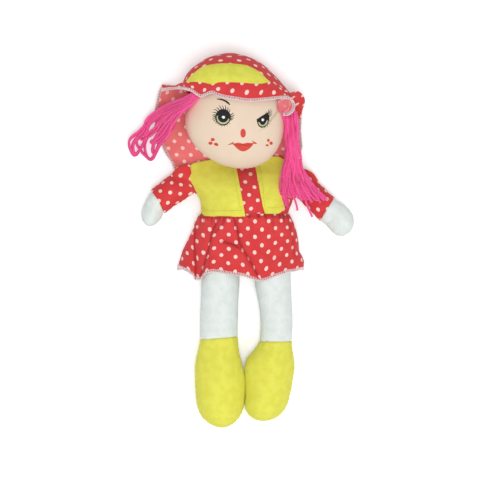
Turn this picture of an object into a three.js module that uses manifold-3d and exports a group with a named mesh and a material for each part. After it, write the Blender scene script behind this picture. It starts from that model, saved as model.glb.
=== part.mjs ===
// A stuffed rag doll that lies on its back: sewn cloth skins over soft filling, a sun hat with yarn hair,
// a dress with a felt waistcoat, and felt boots. Millimetres, +X to the doll's left hand, +Y to the hat,
// +Z up from the surface that it lies on. The origin is on the flat of its back.
import * as THREE from "three";
import { mergeVertices } from "three/addons/utils/BufferGeometryUtils.js";
import Module from "manifold-3d";

const wasm = await Module();
wasm.setup();

// Cloth and clearances
const clothThickness = 1.2;
const feltThickness = 1.4;
const seamThickness = 3.2;
const clearance = 0.3;
const restDepth = 0.5;

// Head and neck
const headWidth = 106;
const chinDrop = 52.5;
const headRise = 64;
const faceDepth = 31;
const headBackDepth = 36.5;
const jawShift = 8;
const headX = -10.7;
const headY = 76.8;
const neckWidth = 30;
const neckLength = 17;
const neckDepth = 13;

// Sun hat
const crownWidth = 112;
const crownX = -9;
const crownRimY = 105;
const crownHeight = 44;
const crownFront = 34.5;
const crownBack = 36.5;
const crownLean = 8;
const panelWidth = 88;
const panelInset = 2.4;
const panelHeight = 21;
const panelRise = 11;
const panelTipShare = 0.04;
const panelFullness = 0.6;
const brimWidth = 15;
const brimReach = 76;
const brimHalfWidth = 90;
const brimCorner = 4;
const brimRise = 7;
const rosetteRadius = 9.6;
const rosetteHole = 3;
const rosetteTurnShare = 0.88;
const rosetteWaveCount = 4;
const brimRuffle = 1.1;
const brimRuffleCount = 34;
const flapWidth = 158;
const flapLength = 75.5;
const flapCornerDrop = 6;
const flapCurl = 4;
const flapFreeY = 41;
const flapFlatShare = 0.32;
const flapLeanShare = 0.07;

// Yarn hair
const hankLength = 82;
const hankWidth = 33;
const hankDepth = 16;
const longHankLength = 106;
const longHankWidth = 30;
const longHankDepth = 10;
const strandGroove = 0.8;
const strandGroupCount = 6;
const turnStepShare = 0.02;

// Torso and dress
const torsoWidth = 117;
const torsoTopY = 39;
const torsoLength = 90;
const chestDepth = 29;
const backDepth = 15;
const hipHeight = 15;
const placketWidth = 20;
const placketLean = 10;
const vestTopY = 31.5;
const vestCorner = 4;
const vestClearance = 0.5;
const waistY = -24;
const skirtLength = 65;
const skirtHemWidth = 137;
const skirtShift = 4.8;
const skirtDepth = 28.5;
const skirtRestShare = 0.6;
const skirtFullness = 0.75;
const skirtFoldDepth = 2.8;
const skirtFoldCount = 11;
const skirtFoldSinkShare = 0.4;

// Arms
const shoulderGap = 0.4;
const shoulderHeight = 13;
const sleeveWidth = 31;
const handWidth = 25;
const armDepth = 26;
const rightArm = { seamY: 14, reach: 45.5, drop: 50, cuffShare: 0.57 };
const leftArm = { seamY: 10.5, reach: 50, drop: 55.5, cuffShare: 0.53 };

// Legs and boots
const legWidth = 39.5;
const legDepth = 31;
const bootWidth = 51.5;
const bootDepth = 42;
const rightLeg = { hipX: -25, bow: 3, toeIn: 1.6, leg: 106, boot: 94 };
const leftLeg = { hipX: 28.3, bow: 4.5, toeIn: 7, leg: 108, boot: 85 };

const skinLayer = clothThickness;
const fillingLayer = clothThickness + clearance;
const backFloor = feltThickness + vestClearance;
const headFloor = clothThickness + clearance;
const headMid = headFloor + headBackDepth - restDepth;
const seamHalf = seamThickness / 2;
const shoulderX = torsoWidth / 2 + shoulderGap;
const cuffGapShare = 0.0025;
const neckOverlap = 2;
const thinnestShare = 0.2;

// Values between the rows of a table whose first column rises, without overshoot
function between(rows, s) {
  const last = rows.length - 1;
  if (s <= rows[0][0]) return rows[0].slice(1);
  if (s >= rows[last][0]) return rows[last].slice(1);
  const i = rows.findIndex((row) => row[0] > s) - 1;
  const slope = (a, k) => (rows[a + 1][k] - rows[a][k]) / (rows[a + 1][0] - rows[a][0]);
  const tangent = (a, k) => {
    if (a === 0 || a === last) return slope(a === 0 ? 0 : last - 1, k);
    const before = slope(a - 1, k);
    const after = slope(a, k);
    return before * after > 0 ? (2 * before * after) / (before + after) : 0;
  };
  const width = rows[i + 1][0] - rows[i][0];
  const t = (s - rows[i][0]) / width;
  return rows[i].slice(1).map((value, k) => {
    const end = rows[i + 1][k + 1];
    const lift = value * (1 + 2 * t) * (1 - t) ** 2 + end * t * t * (3 - 2 * t);
    return lift + width * (tangent(i, k + 1) * t * (1 - t) ** 2 - tangent(i + 1, k + 1) * t * t * (1 - t));
  });
}

function steps(count, from = 0, to = 1) {
  return Array.from({ length: count + 1 }, (_, i) => from + ((to - from) * i) / count);
}

// A point on a stuffed form, `inset` under its outer surface: angle 0 is its side, a quarter turn its front
function formPoint(form, s, angle, inset) {
  const at = form.at(s);
  const thin = (size) => Math.max(size - inset, size * thinnestShare);
  const side = thin(at.half) * Math.cos(angle);
  const rise = Math.sin(angle);
  const height = rise > 0 ? thin(at.up) : -thin(at.down);
  const ridge = form.ridge ? form.ridge(s, angle) : 0;
  const across = at.turn + Math.PI / 2;
  return new THREE.Vector3(
    at.x + (side + ridge * Math.cos(angle)) * Math.cos(across),
    at.y + (side + ridge * Math.cos(angle)) * Math.sin(across),
    Math.max(at.z + height * Math.abs(rise) ** at.edge + ridge * rise, form.floor + inset),
  );
}

function formRings(form, stations, sides, inset) {
  const angles = steps(sides).slice(0, sides);
  return stations.map((s) => angles.map((share) => formPoint(form, s, share * 2 * Math.PI, inset)));
}

// A skin around a stuffed form, open at its ends unless `length` gives the form's length, and then it closes
// over its end
function skin(form, stations, sides, length = 0) {
  const last = stations.length - 1;
  const inner = stations.map((s, i) => (length && i === last ? s - skinLayer / length : s));
  return sheet(formRings(form, stations, sides, 0), formRings(form, inner, sides, skinLayer), {
    wrap: true,
    pole: length > 0,
  });
}

// A closed skin between two grids of points, open at its ends unless the last row is a pole
function sheet(outer, inner, { wrap = false, pole = false } = {}) {
  const rows = outer.length;
  const count = outer[0].length;
  const points = [...outer.flat(), ...inner.flat()];
  const faces = [];
  const at = (side, j, i) => side * rows * count + j * count + (i % count);
  const quad = (a, b, c, d) => faces.push([a, b, c], [a, c, d]);
  const spans = wrap ? count : count - 1;
  for (let i = 0; i < spans; i++) {
    for (let j = 0; j < rows - 1; j++) {
      quad(at(0, j, i), at(0, j, i + 1), at(0, j + 1, i + 1), at(0, j + 1, i));
      quad(at(1, j, i), at(1, j + 1, i), at(1, j + 1, i + 1), at(1, j, i + 1));
    }
    quad(at(0, 0, i), at(1, 0, i), at(1, 0, i + 1), at(0, 0, i + 1));
    if (!pole) quad(at(0, rows - 1, i), at(0, rows - 1, i + 1), at(1, rows - 1, i + 1), at(1, rows - 1, i));
  }
  for (let j = 0; !wrap && j < rows - 1; j++) {
    quad(at(0, j, 0), at(0, j + 1, 0), at(1, j + 1, 0), at(1, j, 0));
    quad(at(0, j, spans), at(1, j, spans), at(1, j + 1, spans), at(0, j + 1, spans));
  }
  if (pole) {
    fan(points, faces, outer[rows - 1], (i) => at(0, rows - 1, i), false);
    fan(points, faces, inner[rows - 1], (i) => at(1, rows - 1, i), true);
  }
  return solidFrom(points, faces);
}

function fan(points, faces, ring, index, turned) {
  const middle = ring.reduce((sum, p) => sum.clone().add(p), new THREE.Vector3()).divideScalar(ring.length);
  points.push(middle);
  for (let i = 0; i < ring.length; i++) {
    const pair = turned ? [index(i + 1), index(i)] : [index(i), index(i + 1)];
    faces.push([points.length - 1, ...pair]);
  }
}

// A solid through rings, its two ends closed
function loft(rings) {
  const count = rings[0].length;
  const points = rings.flat();
  const faces = [];
  const at = (j, i) => j * count + (i % count);
  for (let j = 0; j < rings.length - 1; j++)
    for (let i = 0; i < count; i++)
      faces.push([at(j, i), at(j, i + 1), at(j + 1, i + 1)], [at(j, i), at(j + 1, i + 1), at(j + 1, i)]);
  fan(points, faces, rings[0], (i) => at(0, i), true);
  fan(points, faces, rings[rings.length - 1], (i) => at(rings.length - 1, i), false);
  return solidFrom(points, faces);
}

function solidFrom(points, faces) {
  const volume = faces.reduce(
    (sum, [a, b, c]) => sum + points[a].dot(points[b].clone().cross(points[c])),
    0,
  );
  const geometry = new THREE.BufferGeometry();
  const index = faces.flatMap(([a, b, c]) => (volume < 0 ? [a, c, b] : [a, b, c]));
  geometry.setAttribute("position", new THREE.Float32BufferAttribute(points.flatMap((p) => p.toArray()), 3));
  geometry.setIndex(index);
  return geometry;
}

// Cuts and joins
function toManifold(geometry) {
  const merged = mergeVertices(geometry.clone());
  return new wasm.Manifold(
    new wasm.Mesh({
      numProp: 3,
      vertProperties: merged.attributes.position.array,
      triVerts: new Uint32Array(merged.index.array),
    }),
  );
}

function cutBy(geometry, cutters) {
  let solid = toManifold(geometry);
  for (const cutter of cutters) solid = solid.subtract(toManifold(cutter));
  const largest = solid.decompose().sort((a, b) => b.volume() - a.volume())[0];
  const mesh = largest.getMesh();
  const result = new THREE.BufferGeometry();
  result.setAttribute("position", new THREE.BufferAttribute(mesh.vertProperties.slice(), 3));
  result.setIndex(new THREE.BufferAttribute(mesh.triVerts.slice(), 1));
  return result;
}

// Looks
const looks = {
  dotted: { color: "#e04545", roughness: 0.85 },
  yellow: { color: "#e8e35a", roughness: 0.9 },
  white: { color: "#eef0ec", roughness: 0.9 },
  skin: { color: "#ecd6c0", roughness: 0.75 },
  yarn: { color: "#f04a98", roughness: 0.95 },
  filling: { color: "#f4f4f0", roughness: 1 },
};

const doll = new THREE.Group();

function add(name, geometry, look) {
  const material = new THREE.MeshStandardMaterial({ ...looks[look], metalness: 0 });
  const mesh = new THREE.Mesh(geometry, material);
  mesh.name = name;
  geometry.computeVertexNormals();
  doll.add(mesh);
}

// Torso: rows are place along it, sideways lean, half width, front and back swell, seam height, edge
const torsoShares = [
  [0, 0, 0.14, 0.08, 0.12, 0.42, 1.6],
  [0.05, 0, 0.32, 0.11, 0.2, 0.48, 1.7],
  [0.09, 0, 0.47, 0.14, 0.26, 0.54, 1.8],
  [0.13, 0, 0.497, 0.2, 0.4, 0.62, 1.9],
  [0.25, 0, 0.5, 0.52, 0.78, 0.81, 1.8],
  [0.4, 0, 0.475, 0.87, 1.05, 0.93, 1.6],
  [0.55, 0, 0.43, 1, 1.05, 0.95, 1.3],
  [0.7, -0.01, 0.4, 0.9, 1.03, 1, 1.3],
  [0.82, 0, 0.395, 0.6, 0.8, 1, 1.5],
  [0.92, 0.005, 0.395, 0.28, 0.46, 1, 1.7],
  [1, 0.01, 0.395, 0.055, 0.107, 1, 1.8],
];
const torso = {
  floor: backFloor,
  at(s) {
    const [lean, half, up, down, height, edge] = between(torsoShares, s);
    return {
      x: lean * torsoWidth,
      y: torsoTopY - s * torsoLength,
      z: height * hipHeight,
      turn: -Math.PI / 2,
      half: half * torsoWidth,
      up: up * chestDepth,
      down: down * backDepth,
      edge,
    };
  },
};
const torsoAtY = (y) => (torsoTopY - y) / torsoLength;
const torsoSides = 32;
const vestTop = torsoAtY(vestTopY);
const vestBottom = torsoAtY(waistY);
const shoulderEndShare = 0.13;
const vestStations = [
  ...steps(2, vestTop, shoulderEndShare),
  ...steps(6, shoulderEndShare, vestBottom).slice(1),
];
const torsoStations = [0, ...vestStations, ...steps(4, vestBottom, 1).slice(1)];
add("dress_bodice", skin(torso, torsoStations, torsoSides), "dotted");
add("torso_filling", loft(formRings(torso, torsoStations.slice(1, -1), torsoSides, fillingLayer)), "filling");

// Waistcoat: panels that lie on the bodice between two edges
function vestPanel(fromAngle, toAngle, spans) {
  const grid = (inset) =>
    vestStations.map((s, row) =>
      steps(spans).map((share) => {
        const corner = row === vestStations.length - 1 ? vestCorner * (2 * Math.abs(share - 0.5)) ** 6 : 0;
        const place = s - corner / torsoLength;
        const angle = fromAngle(s) + (toAngle(s) - fromAngle(s)) * share;
        return formPoint(torso, place, angle, inset);
      }),
    );
  return sheet(grid(-vestClearance - feltThickness), grid(-vestClearance));
}

const vestSideShare = 0.045;
const vestFrontSpans = 7;
const vestBackSpans = 14;
const sideAngle = vestSideShare * 2 * Math.PI;
const placketEdge = (side) => (s) => {
  const at = torso.at(s);
  const middle = (placketLean * (s - vestTop)) / (vestBottom - vestTop);
  return Math.acos((middle + (side * placketWidth) / 2 - at.x) / at.half);
};
add("vest_front_left", vestPanel(() => sideAngle, placketEdge(1), vestFrontSpans), "yellow");
add("vest_front_right", vestPanel(placketEdge(-1), () => Math.PI - sideAngle, vestFrontSpans), "yellow");
const backPanel = vestPanel(() => Math.PI + sideAngle, () => 2 * Math.PI - sideAngle, vestBackSpans);
add("vest_back", backPanel, "yellow");

// Skirt: gathered at the waist, with folds that deepen to the hem
const skirtShares = [
  [0, 0, 0, 0],
  [0.25, 0.34, 0.45, 0.3],
  [0.5, 0.62, 0.8, 0.55],
  [0.75, 0.84, 0.95, 0.8],
  [1, 1, 1, 1],
];
const waistAt = torso.at(torsoAtY(waistY - clearance));
const skirt = {
  floor: clearance,
  at(s) {
    const [widen, swell, settle] = between(skirtShares, s);
    const mix = (a, b, share) => a + (b - a) * share;
    const waistHalf = waistAt.half + clearance + clothThickness;
    return {
      x: mix(waistAt.x, -skirtShift, s),
      y: waistY - clearance - s * skirtLength,
      z: mix(waistAt.z, hipHeight * skirtRestShare, settle),
      turn: -Math.PI / 2,
      half: mix(waistHalf, skirtHemWidth / 2, widen),
      up: mix(waistAt.up + clearance + clothThickness, skirtDepth, swell),
      down: mix(waistAt.down + clearance + clothThickness, hipHeight * skirtRestShare, settle),
      edge: mix(waistAt.edge, skirtFullness, swell),
    };
  },
  ridge(s, angle) {
    const front = Math.max(0, Math.sin(angle)) ** 0.5;
    return skirtFoldDepth * s * front * (Math.cos(skirtFoldCount * angle + 2 * s) - skirtFoldSinkShare);
  },
};
const skirtSides = 44;
const skirtStations = steps(6);
add("skirt", skin(skirt, skirtStations, skirtSides), "dotted");

// Legs: rows are place along the leg, half width, front and back swell, edge
const legShares = [
  [0, 0.5, 0.012, 0.012, 2],
  [0.016, 0.5, seamHalf / legDepth, seamHalf / legDepth, 2],
  [0.042, 0.5, 0.058, 0.058, 2],
  [0.12, 0.5, 0.27, 0.19, 1.8],
  [0.22, 0.5, 0.43, 0.33, 1.4],
  [0.42, 0.5, 0.5, 0.4, 1.15],
  [0.6, 0.495, 0.5, 0.5, 1.05],
  [0.8, 0.485, 0.48, 0.5, 1.05],
  [1, 0.475, 0.5, 0.5, 1.05],
];
const bootShares = [
  [0, 0.365, 0.37, 0.37, 1.05],
  [0.08, 0.4, 0.4, 0.37, 1.05],
  [0.2, 0.46, 0.46, 0.37, 1.05],
  [0.35, 0.5, 0.52, 0.37, 1],
  [0.55, 0.49, 0.58, 0.37, 1],
  [0.72, 0.45, 0.6, 0.37, 1],
  [0.84, 0.38, 0.55, 0.36, 1],
  [0.93, 0.27, 0.43, 0.33, 1],
  [0.985, 0.13, 0.25, 0.22, 1],
  [1, 0.04, 0.1, 0.1, 1],
];
const toeInShares = [
  [0, 0],
  [0.2, 0.75],
  [0.45, 1],
  [1, 1.1],
];

function legForm(side) {
  const total = side.leg + side.boot;
  const ankle = side.leg / total;
  const outward = Math.sign(side.hipX);
  return {
    ankle,
    floor: 0,
    at(s) {
      const bend = Math.sin(Math.min(1, s / ankle) * Math.PI * 0.5) ** 2;
      const row = s < ankle ? between(legShares, s / ankle) : between(bootShares, (s - ankle) / (1 - ankle));
      const width = s < ankle ? legWidth : bootWidth;
      const depth = s < ankle ? legDepth : bootDepth;
      const [turnIn] = between(toeInShares, (s - ankle) / (1 - ankle));
      return {
        x: side.hipX + outward * (side.bow * bend - side.toeIn * turnIn),
        y: torsoTopY - torsoLength - clearance - s * total,
        z: hipHeight,
        turn: -Math.PI / 2,
        half: row[0] * width,
        up: row[1] * depth,
        down: Math.min(row[2] * depth, hipHeight + restDepth),
        edge: row[3],
      };
    },
  };
}

const legSides = 18;
const seamGapShare = 0.0012;
const hipEndShares = [0.016, 0.042];
const bootStationShares = [0, 0.08, 0.2, 0.36, 0.55, 0.72, 0.84, 0.93, 0.975, 0.995];
for (const [name, side] of [["right", rightLeg], ["left", leftLeg]]) {
  const form = legForm(side);
  const legStations = [
    0,
    ...hipEndShares.map((share) => share * form.ankle),
    ...steps(8, 0, form.ankle - seamGapShare).slice(1),
  ];
  const bootStations = bootStationShares.map(
    (share) => form.ankle + seamGapShare + (1 - form.ankle - seamGapShare) * share,
  );
  add(`leg_${name}`, skin(form, legStations, legSides), "white");
  add(`boot_${name}`, skin(form, bootStations, legSides, side.leg + side.boot), "yellow");
  const fillingStations = [...legStations.slice(3), ...bootStations.slice(0, -1)];
  add(`leg_filling_${name}`, loft(formRings(form, fillingStations, legSides, fillingLayer)), "filling");
}

// Arms: rows are place along the arm, half width, front and back swell, edge
const sleeveShares = [
  [0, 0.5, 0.014, 0.014, 2],
  [0.04, 0.5, seamHalf / armDepth, seamHalf / armDepth, 2],
  [0.1, 0.5, 0.075, 0.07, 1.9],
  [0.25, 0.49, 0.25, 0.27, 1.6],
  [0.5, 0.48, 0.46, 0.5, 1.1],
  [0.8, 0.43, 0.47, 0.5, 1],
  [1, 0.4, 0.42, 0.5, 1],
];
const handShares = [
  [0, 0.48, 0.4, 0.5, 1],
  [0.3, 0.5, 0.42, 0.5, 1],
  [0.55, 0.5, 0.44, 0.5, 1],
  [0.8, 0.4, 0.38, 0.48, 1],
  [0.93, 0.25, 0.27, 0.38, 1],
  [1, 0.08, 0.1, 0.2, 1],
];
// The arm's middle line as shares of its reach to the side and its drop towards the feet
const rightArmRouteShares = [
  [0, 0, 0],
  [0.06, 0.09, 0.02],
  [0.19, 0.25, 0.15],
  [0.57, 0.72, 0.47],
  [0.74, 0.88, 0.66],
  [1, 1, 1],
];
const leftArmRouteShares = [
  [0, 0, 0],
  [0.06, 0.09, 0.02],
  [0.255, 0.28, 0.235],
  [0.53, 0.57, 0.51],
  [0.71, 0.78, 0.66],
  [1, 1, 1],
];

function armForm(side, outward, routeShares) {
  const total = Math.hypot(side.reach, side.drop);
  const place = (s) => {
    const [out, down] = between(routeShares, s);
    return [outward * (shoulderX + out * side.reach), side.seamY - down * side.drop];
  };
  const shoulder = seamHalf / total;
  return {
    floor: 0,
    length: total,
    at(s) {
      const [x, y] = place(s);
      const [x0, y0] = place(s - shoulder);
      const [x1, y1] = place(s + shoulder);
      const onSleeve = s < side.cuffShare;
      const share = onSleeve ? s / side.cuffShare : (s - side.cuffShare) / (1 - side.cuffShare);
      const [half, up, down, edge] = between(onSleeve ? sleeveShares : handShares, share);
      return {
        x,
        y,
        z: shoulderHeight,
        turn: s < shoulder ? Math.atan2(0, outward) : Math.atan2(y1 - y0, x1 - x0),
        half: half * (onSleeve ? sleeveWidth : handWidth),
        up: up * armDepth,
        down: Math.min(down * armDepth, shoulderHeight + restDepth),
        edge,
      };
    },
  };
}

const armSides = 16;
const sleeveStationShares = [0, 0.04, 0.1, 0.18, 0.28, 0.42, 0.6, 0.8, 1];
const handStationShares = [0, 0.25, 0.5, 0.7, 0.84, 0.93, 0.995];
const armForms = {
  right: armForm(rightArm, -1, rightArmRouteShares),
  left: armForm(leftArm, 1, leftArmRouteShares),
};
const cuffShares = { right: rightArm.cuffShare, left: leftArm.cuffShare };
for (const name of ["right", "left"]) {
  const form = armForms[name];
  const sleeveStations = sleeveStationShares.map((share) => share * (cuffShares[name] - cuffGapShare));
  const handStations = handStationShares.map(
    (share) => cuffShares[name] + cuffGapShare + (1 - cuffShares[name] - cuffGapShare) * share,
  );
  add(`sleeve_${name}`, skin(form, sleeveStations, armSides), "dotted");
  add(`hand_${name}`, skin(form, handStations, armSides, form.length), "white");
  const fillingStations = [...sleeveStations.slice(3), ...handStations.slice(0, -1)];
  add(`arm_filling_${name}`, loft(formRings(form, fillingStations, armSides, fillingLayer)), "filling");
}

// Head: a face panel and a back panel, domes over one outline that shifts to one side at the jaw
const headSides = 22;
const domeShares = [0, 0.15, 0.3, 0.45, 0.6, 0.75, 0.9];

function headRing(front, share, inset) {
  const depth = (front ? faceDepth : headBackDepth) - inset;
  const reach = Math.cos((share * Math.PI) / 2);
  const z = headMid + (front ? 1 : -1) * (clearance / 2 + depth * Math.sin((share * Math.PI) / 2));
  return steps(headSides)
    .slice(0, headSides)
    .map((turnShare) => {
      const angle = turnShare * 2 * Math.PI;
      const rise = Math.sin(angle);
      const jaw = jawShift * Math.min(0, rise * reach) ** 2;
      const height = (rise < 0 ? chinDrop : headRise) - inset;
      return new THREE.Vector3(
        headX + jaw + (headWidth / 2 - inset) * Math.cos(angle) * reach,
        headY + height * rise * reach,
        Math.max(z, headFloor + inset),
      );
    });
}

function headPanel(front) {
  const rings = (inset) => domeShares.map((share) => headRing(front, share, inset));
  return sheet(rings(0), rings(skinLayer), { wrap: true, pole: true });
}

function headSolid(inset) {
  const back = domeShares.map((share) => headRing(false, share, inset)).reverse();
  return loft([...back, ...domeShares.map((share) => headRing(true, share, inset))]);
}

add("face_panel", headPanel(true), "skin");
add("head_back_panel", headPanel(false), "skin");
add("head_filling", headSolid(fillingLayer), "filling");

const grownHead = headSolid(-clearance);
const grownTorso = loft(formRings(torso, torsoStations, torsoSides, -clearance));

// Neck: a short tube from the bodice up into the underside of the head
const neckShares = [
  [0, 0, 0.46],
  [1, 1, 1.15],
];
const neck = {
  floor: backFloor,
  at(s) {
    const [along, height] = between(neckShares, s);
    return {
      x: 0,
      y: torsoTopY - clearance * 2 - neckOverlap + along * neckLength,
      z: height * hipHeight,
      turn: Math.PI / 2,
      half: neckWidth / 2,
      up: neckDepth / 2,
      down: neckDepth / 2,
      edge: 1,
    };
  },
};
add("neck", cutBy(loft(formRings(neck, steps(3), 14, 0)), [grownHead, grownTorso]), "skin");

// Hat crown: rows are place from rim to top, lean, half width, front and back swell
const crownShares = [
  [0, 0, 0.5, 1, 1],
  [0.3, 0.42, 0.471, 0.95, 0.95],
  [0.57, 0.9, 0.375, 0.77, 0.77],
  [0.73, 0.85, 0.3, 0.6, 0.6],
  [0.89, 0.95, 0.19, 0.37, 0.37],
  [1, 0.9, 0.03, 0.08, 0.08],
];
const crown = {
  floor: headFloor,
  at(s) {
    const [lean, half, up, down] = between(crownShares, s);
    return {
      x: crownX - lean * crownLean,
      y: crownRimY + s * crownHeight,
      z: headMid,
      turn: Math.PI / 2,
      half: half * crownWidth,
      up: up * crownFront,
      down: down * crownBack,
      edge: 1,
    };
  },
};
const crownSides = 24;
const crownStations = [0, 0.16, 0.32, 0.5, 0.68, 0.84, 0.96];
add("hat_crown", skin(crown, crownStations, crownSides, crownHeight), "dotted");

// A point on the front of the crown, above a place in the plane of the bed
function crownPoint(x, y, inset) {
  const s = (y - crownRimY) / crownHeight;
  const at = crown.at(s);
  const across = Math.max(-1, Math.min(1, (at.x - x) / (at.half - inset)));
  return formPoint(crown, s, Math.acos(across), inset);
}

// Hat front panel: a crescent that lies on the crown
function crescent(inset) {
  return steps(4).map((rise) =>
    steps(12).map((share) => {
      const x = crownX - crownWidth / 2 + panelInset + share * panelWidth;
      const arch = Math.sin(Math.PI * (panelTipShare + (1 - 2 * panelTipShare) * share)) ** panelFullness;
      return crownPoint(x, crownRimY + panelRise + rise * arch * panelHeight, inset);
    }),
  );
}
add(
  "hat_front_panel",
  sheet(crescent(-vestClearance - clothThickness), crescent(-vestClearance)),
  "yellow",
);

// Brim: a band that starts on the crown's rim and hangs over the forehead, with a spread corner at the
// doll's right and a curled rosette at its left. Rows are place along it, then the crown edge's place
// across and up, and the hem's, as shares of the reach, the spread and the brim's width
const brimShares = [
  [0, -1.05, 0.62, -1.07, 0.1],
  [0.12, -0.9, 0.75, -0.86, 0.22],
  [0.25, -0.69, 0.68, -0.67, 0.02],
  [0.5, -0.2, 0.7, -0.2, -0.2],
  [0.75, 0.3, 0.7, 0.3, -0.45],
  [1, 0.78, 0.3, 0.78, -0.42],
];

// The height of the cloth over the head and crown, which it meets in the middle and leaves at the sides
function brimHeight(x, y, lift) {
  const across = Math.min(1, Math.abs(x - crownX) / brimHalfWidth);
  const dome = brimCorner + (headMid + crownFront + brimRise / 2 - brimCorner) * (1 - across ** 2);
  const s = Math.max(0, (y - crownRimY) / crownHeight);
  const at = crown.at(s);
  const inside = Math.max(0, 1 - ((x - at.x) / at.half) ** 2);
  const onCrown = at.z + at.up * Math.sqrt(inside);
  return Math.max(dome - brimRise * (1 - lift) * inside, onCrown + vestClearance) + lift * brimRise * 0.2;
}

function brimGrid(raise) {
  const band = steps(22).map((u) => {
    const [topX, topY, hemX, hemY] = between(brimShares, u);
    return steps(3).map((v) => {
      const ruffle = brimRuffle * v * Math.cos(brimRuffleCount * u);
      const x = crownX + (topX + (hemX - topX) * v) * brimReach;
      const y = crownRimY + (topY + (hemY - topY) * v) * brimWidth;
      return new THREE.Vector3(x, y, brimHeight(x, y, v) + ruffle + raise);
    });
  });
  const start = band[band.length - 1];
  const centre = new THREE.Vector3(start[3].x, start[3].y - rosetteRadius, start[3].z);
  const rosette = steps(12).slice(1).map((u) => {
    const angle = Math.PI / 2 - u * rosetteTurnShare * 2 * Math.PI;
    return steps(3).map((v) => {
      const radius = rosetteHole + (rosetteRadius - rosetteHole) * v;
      const x = centre.x + radius * Math.cos(angle);
      const y = centre.y + radius * Math.sin(angle);
      return new THREE.Vector3(x, y, centre.z + raise + brimRuffle * Math.cos(rosetteWaveCount * angle) * v);
    });
  });
  return [...band, ...rosette];
}
add("hat_brim", cutBy(sheet(brimGrid(clothThickness), brimGrid(0)), [grownHead]), "dotted");

// Back flap of the hat: it lies on the bed under the head, with its free edges a little raised
const flapShares = [
  [0, -0.57, 0.36],
  [0.2, -0.6, 0.4],
  [0.5, -0.575, 0.375],
  [0.7, -0.555, 0.375],
  [0.86, -0.5, 0.37],
  [1, -0.44, 0.35],
];
const flapFreeShare = (crownRimY - clearance - flapFreeY) / flapLength;
function flapGrid(raise, from = 0, to = 1) {
  return steps(8, from, to).map((v) => {
    const [left, right] = between(flapShares, v);
    return steps(16).map((u) => {
      const share = left + (right - left) * u;
      const edge = Math.max(0, Math.abs(share + flapLeanShare) - flapFlatShare) / (0.5 - flapFlatShare);
      const x = share * flapWidth;
      const y = crownRimY - clearance - v * (flapLength + flapCornerDrop * Math.min(1, edge) ** 2);
      return new THREE.Vector3(x, y, raise + flapCurl * edge ** 2);
    });
  });
}
const flapPart = (from, to) => sheet(flapGrid(clothThickness, from, to), flapGrid(0, from, to));
add("hat_back_flap", flapPart(0, flapFreeShare), "dotted");
add("hat_flap_end", flapPart(flapFreeShare + clearance / flapLength, 1), "dotted");

// Hair: hanks of yarn with a lobed section. Rows are place along the hank, its place across, along and
// above the bed, half width, and front and back swell
const hankShares = [
  [0, -0.67, 1.2, 0.55, 0.3, 0.35, 0.35],
  [0.2, -0.91, 1.08, 0.4, 0.36, 0.45, 0.45],
  [0.42, -1.12, 0.87, 0.24, 0.46, 0.5, 0.5],
  [0.65, -1.27, 0.65, 0.15, 0.5, 0.5, 0.5],
  [0.85, -1.33, 0.5, 0.12, 0.5, 0.45, 0.45],
  [1, -1.35, 0.42, 0.1, 0.3, 0.2, 0.2],
];
const longHankShares = [
  [0, 0.43, 0.85, 0.44, 0.26, 0.4, 0.4],
  [0.2, 0.455, 0.64, 0.35, 0.27, 0.5, 0.5],
  [0.4, 0.46, 0.42, 0.28, 0.28, 0.5, 0.5],
  [0.58, 0.475, 0.23, 0.26, 0.3, 0.5, 0.5],
  [0.72, 0.5, 0.1, 0.27, 0.46, 0.5, 0.5],
  [0.88, 0.56, -0.04, 0.29, 0.65, 0.5, 0.5],
  [1, 0.62, -0.15, 0.29, 0.7, 0.4, 0.4],
];

function hankForm(rows, length, width, depth) {
  const place = (s) => between(rows, s);
  return {
    floor: headFloor,
    at(s) {
      const [x, y, z, half, up, down] = place(s);
      const before = place(s - turnStepShare);
      const after = place(s + turnStepShare);
      return {
        x: x * length,
        y: y * length,
        z: z * length,
        turn: Math.atan2(after[1] - before[1], after[0] - before[0]),
        half: half * width,
        up: up * depth,
        down: down * depth,
        edge: 0.8,
      };
    },
    ridge: (s, angle) => strandGroove * Math.cos(strandGroupCount * angle),
  };
}
const grownFlap = sheet(flapGrid(clothThickness + clearance), flapGrid(-clearance));
const grownCrown = loft(formRings(crown, crownStations, crownSides, -clearance));
const grownArm = (name) => loft(formRings(armForms[name], steps(12, 0, 0.98), armSides, -clearance));
const vestReach = vestClearance + feltThickness + clearance;
const grownVest = loft(formRings(torso, torsoStations, torsoSides, -vestReach));
const grownBrim = sheet(brimGrid(clothThickness + clearance), brimGrid(-clearance));
const hairCutters = [grownHead, grownCrown, grownFlap, grownBrim];
const rightHank = hankForm(hankShares, hankLength, hankWidth, hankDepth);
const leftHank = hankForm(longHankShares, longHankLength, longHankWidth, longHankDepth);
add("hair_right", cutBy(loft(formRings(rightHank, steps(9), 18, 0)), hairCutters), "yarn");
add(
  "hair_left",
  cutBy(loft(formRings(leftHank, steps(10), 18, 0)), [...hairCutters, grownVest, grownArm("left")]),
  "yarn",
);

export default doll;
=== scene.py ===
"""The looks of a stuffed rag doll that lies on its back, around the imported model. Sizes are in millimetres
until a mesh is made, and a place read from the photograph goes through place()."""

import math

import bmesh
import bpy
import numpy as np
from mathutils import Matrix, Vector, geometry, noise


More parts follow.
